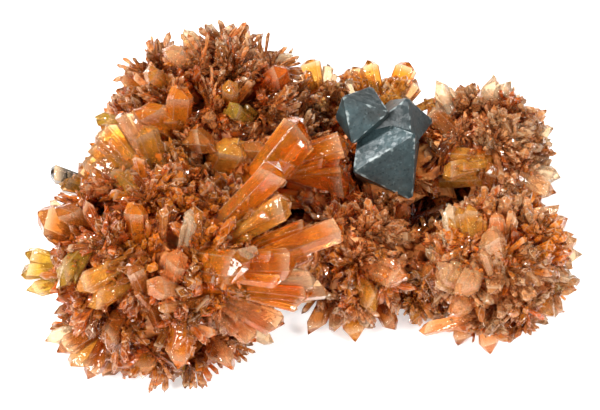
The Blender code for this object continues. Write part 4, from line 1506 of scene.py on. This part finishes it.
def fluorite_material(name, look):
    """Blue-grey fluorite: cloudy inside with smoky patches, peppered with small dark pits and
    light specks painted as glitter, pale along the edges by a painted highlight over a frosted
    relief, each octahedron as light as its shade."""
    made, tree, shader, place = new_material(name)
    stops = [(at, [min(factor * c, 1.0) for c in look.colour]) for at, factor in FLUORITE_CLOUDS]
    body = ramp(tree, noise(tree, "fluorite", place), stops)
    smoky = ramp(tree, noise(tree, "smoke", place), SMOKE_SHARES)
    body = mix_colour(tree, smoky, body, look.smoke)
    # Pepper: dark pits, and light specks painted as glitter
    pits = node(tree, "ShaderNodeTexVoronoi", Vector=place, Scale=PEPPER_PER_METRE)
    body = multiplied(tree, body, ramp(tree, pits.outputs["Color"], PEPPER_AND_PAINTED_GLITTER))
    body = multiplied(tree, body, attribute(tree, "shade"))
    # Pale edges: a painted highlight; the same noise also roughens the relief
    frost_and_edge_highlight = noise(tree, "frost_and_edge_highlight", place)
    edge = map_range(tree, calc(tree, "ADD", attribute(tree, "rim"), frost_and_edge_highlight), EDGE_HIGHLIGHT_SPAN)
    body = mix_colour(tree, edge, body, look.frost_and_edge_highlight)

    relief, _ = facets(tree, scaled(tree, place, PITS_PER_METRE))
    relief = calc(tree, "ADD", relief, frost_and_edge_highlight)
    set_node(
        tree,
        shader,
        Base_Color=body,
        Normal=bump(tree, relief, look.etching, FLUORITE_RELIEF),
        Roughness=look.roughness,
        IOR=FLUORITE_IOR,
        Transmission_Weight=look.transmission,
    )
    return made


def rock_material(name):
    """Near-black greenish brown rock with rusty and pale specks."""
    made, tree, shader, place = new_material(name)
    patches = noise(tree, "rock", place)
    colour = ramp(tree, patches, ROCK_COLOURS)
    normal = bump(tree, patches, 1.0, ROCK_RELIEF)
    set_node(tree, shader, Base_Color=colour, Normal=normal, Roughness=ROCK_ROUGHNESS)
    return made


def floor_material(colour, glow):
    """Matt white paper on a light table, with a very faint fibre."""
    made, tree, shader, place = new_material("paper")
    light = [min(FIBRE_LIGHT * c, 1.0) for c in colour]
    fibre = ramp(tree, noise(tree, "paper", place), list(zip(FIBRE_SPAN, (colour, light))))
    set_node(
        tree,
        shader,
        Base_Color=fibre,
        Roughness=PAPER_ROUGHNESS,
        Specular_IOR_Level=PAPER_GLOSS,
        Emission_Color=(1.0, 1.0, 1.0, 1.0),
        Emission_Strength=glow,
    )
    return made


# Settings


class CreediteLook(bpy.types.PropertyGroup):
    """Sizes and finish of the creedite crystals."""

    transmission: FloatProperty(
        name="Transmission", description="Share of light that passes", default=0.8, subtype="FACTOR"
    )
    leaf_transmission: FloatProperty(
        name="Leaf transmission",
        description="Share of light that passes the pointed large crystals",
        default=0.7,
        subtype="FACTOR",
    )
    blade_transmission: FloatProperty(
        name="Blade transmission",
        description="Share of light that passes the smaller crystals",
        default=0.6,
        subtype="FACTOR",
    )
    druse_transmission: FloatProperty(
        name="Druse transmission",
        description="Share of light that passes the finest crystals",
        default=0.4,
        subtype="FACTOR",
    )
    roughness: FloatProperty(
        name="Roughness", description="Mean roughness of the faces", default=0.06, subtype="FACTOR"
    )
    sugar: FloatProperty(
        name="Sugar", description="Tilt of the finest cells of the surface", default=0.5
    )
    gloss: FloatProperty(
        name="Gloss", description="Strength of the reflections", default=0.45, subtype="FACTOR"
    )
    growth_steps: FloatProperty(
        name="Growth steps", description="Tilt of the small steps along a prism", default=0.14
    )
    # Share of the painted highlight on the outer edges
    painted_edge_light: FloatProperty(
        name="Edge light",
        description="Share of the pale tone at the edges",
        default=0.7,
        subtype="FACTOR",
    )
    edge_rounding: FloatProperty(
        name="Edge rounding", description="Strength of the rounded edges", default=0.5
    )
    core_rings: IntProperty(
        name="Core rings", description="Rings of each ball under the crystals", default=28
    )


class FluoriteLook(bpy.types.PropertyGroup):
    """Size of the etching and finish of the fluorite."""

    colour: FloatVectorProperty(
        name="Colour", description="Body colour", default=(0.050, 0.084, 0.090), subtype="COLOR"
    )
    smoke: FloatVectorProperty(
        name="Smoke",
        description="Colour of the smoky patches",
        default=(0.040, 0.027, 0.018),
        subtype="COLOR",
    )
    # Colour of the pale edges, a painted highlight
    frost_and_edge_highlight: FloatVectorProperty(
        name="Frost colour",
        description="Colour of the frosted edges",
        default=(0.40, 0.47, 0.46),
        subtype="COLOR",
    )
    steps: IntProperty(name="Steps", description="Grid steps along an edge", default=48)
    etch: FloatProperty(
        name="Etch depth", description="Mean depth of the etching in millimetres", default=0.05
    )
    etching: FloatProperty(name="Frost", description="Strength of the fine pits", default=0.4)
    roughness: FloatProperty(
        name="Roughness", description="Roughness of the faces", default=0.4, subtype="FACTOR"
    )
    transmission: FloatProperty(
        name="Transmission",
        description="Share of light that passes",
        default=0.35,
        subtype="FACTOR",
    )


class StageLook(bpy.types.PropertyGroup):
    """Floor, light and camera."""

    floor_colour: FloatVectorProperty(
        name="Floor", description="Colour of the floor", default=(0.9, 0.9, 0.9), subtype="COLOR"
    )
    floor_size: FloatProperty(
        name="Floor size", description="Side of the floor", default=3.0, unit="LENGTH"
    )
    floor_glow: FloatProperty(
        name="Floor glow", description="Light that comes up through the floor", default=0.52
    )
    distance: FloatProperty(
        name="Camera distance", description="Camera to aim", default=1.5, unit="LENGTH"
    )
    lamps: FloatProperty(
        name="Lamps", description="Factor on the power of every lamp", default=0.97
    )
    sky: FloatProperty(name="Sky", description="Strength of the even light", default=0.28)


# Operators


def dress(piece, solid):
    """Fix a piece to the specimen, and hide the solid it stands for."""
    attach(piece, "root")
    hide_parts(solid)


class ADD_OT_creedite_crystals(bpy.types.Operator):
    """Add the large, plain and small creedite prisms"""

    bl_idname = "creedite.crystals"
    bl_label = "Creedite crystals"

    def execute(self, context):
        look = context.scene.creedite_look
        clear = creedite_material("creedite_prisms", look, look.transmission, LARGE_SUGAR)
        leafy = creedite_material("creedite_leaves", look, look.leaf_transmission, LEAF_SUGAR)
        grainy = creedite_material("creedite_blades", look, look.blade_transmission, BLADE_SUGAR)
        passed = look.druse_transmission
        cloudy = creedite_material("creedite_druse_prisms", look, passed, DRUSE_SUGAR)
        materials = {"large": clear, "leaf": leafy, "fine": cloudy}
        for name, rows in crystal_batches().items():
            material = materials.get(name.split("_")[0], grainy)
            piece = "creedite_" + name + "_prisms"
            made = crystals_object(piece, rows, material, name in SPIKES)
            dress(made, CREEDITE)
        return {"FINISHED"}


class ADD_OT_creedite_cores(bpy.types.Operator):
    """Add the druse under the prisms"""

    bl_idname = "creedite.cores"
    bl_label = "Druse under the prisms"

    def execute(self, context):
        rings = context.scene.creedite_look.core_rings
        made = cores_object("creedite_druse", core_material("creedite_druse"), rings)
        dress(made, CREEDITE)
        return {"FINISHED"}


class ADD_OT_fluorite(bpy.types.Operator):
    """Add the etched fluorite octahedra"""

    bl_idname = "creedite.fluorite"
    bl_label = "Fluorite"

    def execute(self, context):
        look = context.scene.fluorite_look
        material = fluorite_material("fluorite_etched", look)
        made = fluorite_object("fluorite_octahedra", material, look.steps, look.etch)
        dress(made, "fluorite_crystals")
        return {"FINISHED"}


class ADD_OT_rock(bpy.types.Operator):
    """Add the dark rock"""

    bl_idname = "creedite.rock"
    bl_label = "Rock"

    def execute(self, context):
        made = rock_object("matrix_lump", rock_material("matrix_dark"))
        dress(made, "matrix_rock")
        return {"FINISHED"}


class ADD_OT_stage(bpy.types.Operator):
    """Add the floor, the light and the camera"""

    bl_idname = "creedite.stage"
    bl_label = "Stage"

    def execute(self, context):
        look = context.scene.stage_look
        scene = context.scene
        half = look.floor_size / 2.0
        mesh = bpy.data.meshes.new("floor")
        corners = [(-half, -half, 0.0), (half, -half, 0.0), (half, half, 0.0), (-half, half, 0.0)]
        mesh.from_pydata(corners, [], [(0, 1, 2, 3)])
        mesh.materials.append(floor_material(look.floor_colour, look.floor_glow))
        floor = bpy.data.objects.new("floor", mesh)
        scene.collection.objects.link(floor)

        world = bpy.data.worlds.new("studio")
        world.use_nodes = True
        background = world.node_tree.nodes["Background"]
        background.inputs["Color"].default_value = (1.0, 1.0, 1.0, 1.0)
        background.inputs["Strength"].default_value = look.sky
        scene.world = world

        for name, place, size, power in LAMPS:
            lamp = bpy.data.lights.new(name, "AREA")
            lamp.energy = power * look.lamps
            lamp.size = size
            shown = bpy.data.objects.new(name, lamp)
            shown.location = place
            away = Vector(place) - Vector(AIM * MM)
            shown.rotation_euler = away.to_track_quat("Z", "Y").to_euler()
            scene.collection.objects.link(shown)

        lens = bpy.data.cameras.new("camera")
        lens.sensor_width = SENSOR
        width = PICTURE_WIDTH / PIXELS_PER_MM * MM
        lens.lens = lens.sensor_width * look.distance / width
        lens.clip_start, lens.clip_end = CLIP
        camera = bpy.data.objects.new("camera", lens)
        camera.location = AIM * MM + TO_VIEWER * look.distance
        camera.rotation_euler = (math.pi / 2.0 - LOOK_DOWN, 0.0, 0.0)
        scene.collection.objects.link(camera)
        scene.camera = camera
        scene.view_settings.view_transform = "Standard"
        return {"FINISHED"}


class VIEW3D_PT_creedite(bpy.types.Panel):
    """The pieces and their settings"""

    bl_label = "Creedite cluster"
    bl_idname = "VIEW3D_PT_creedite"
    bl_space_type = "VIEW_3D"
    bl_region_type = "UI"
    bl_category = "Creedite"

    def draw(self, context):
        for key in PROPERTIES:
            look = getattr(context.scene, key)
            for name in look.__annotations__:
                self.layout.prop(look, name)
        for operator in OPERATORS:
            self.layout.operator(operator.bl_idname)


PROPERTIES = {
    "creedite_look": CreediteLook,
    "fluorite_look": FluoriteLook,
    "stage_look": StageLook,
}
OPERATORS = [
    ADD_OT_stage,
    ADD_OT_creedite_cores,
    ADD_OT_creedite_crystals,
    ADD_OT_fluorite,
    ADD_OT_rock,
]


def register():
    """Register the classes and hang the settings on the scene."""
    for kind in (*PROPERTIES.values(), *OPERATORS, VIEW3D_PT_creedite):
        bpy.utils.register_class(kind)
    for key, kind in PROPERTIES.items():
        setattr(bpy.types.Scene, key, PointerProperty(type=kind))


def unregister():
    """Undo register."""
    for key in PROPERTIES:
        delattr(bpy.types.Scene, key)
    for kind in reversed((*PROPERTIES.values(), *OPERATORS, VIEW3D_PT_creedite)):
        bpy.utils.unregister_class(kind)


def main():
    """Make every piece."""
    register()
    bpy.ops.creedite.stage()
    bpy.ops.creedite.cores()
    bpy.ops.creedite.crystals()
    bpy.ops.creedite.fluorite()
    bpy.ops.creedite.rock()


if __name__ == "__main__":
    main()
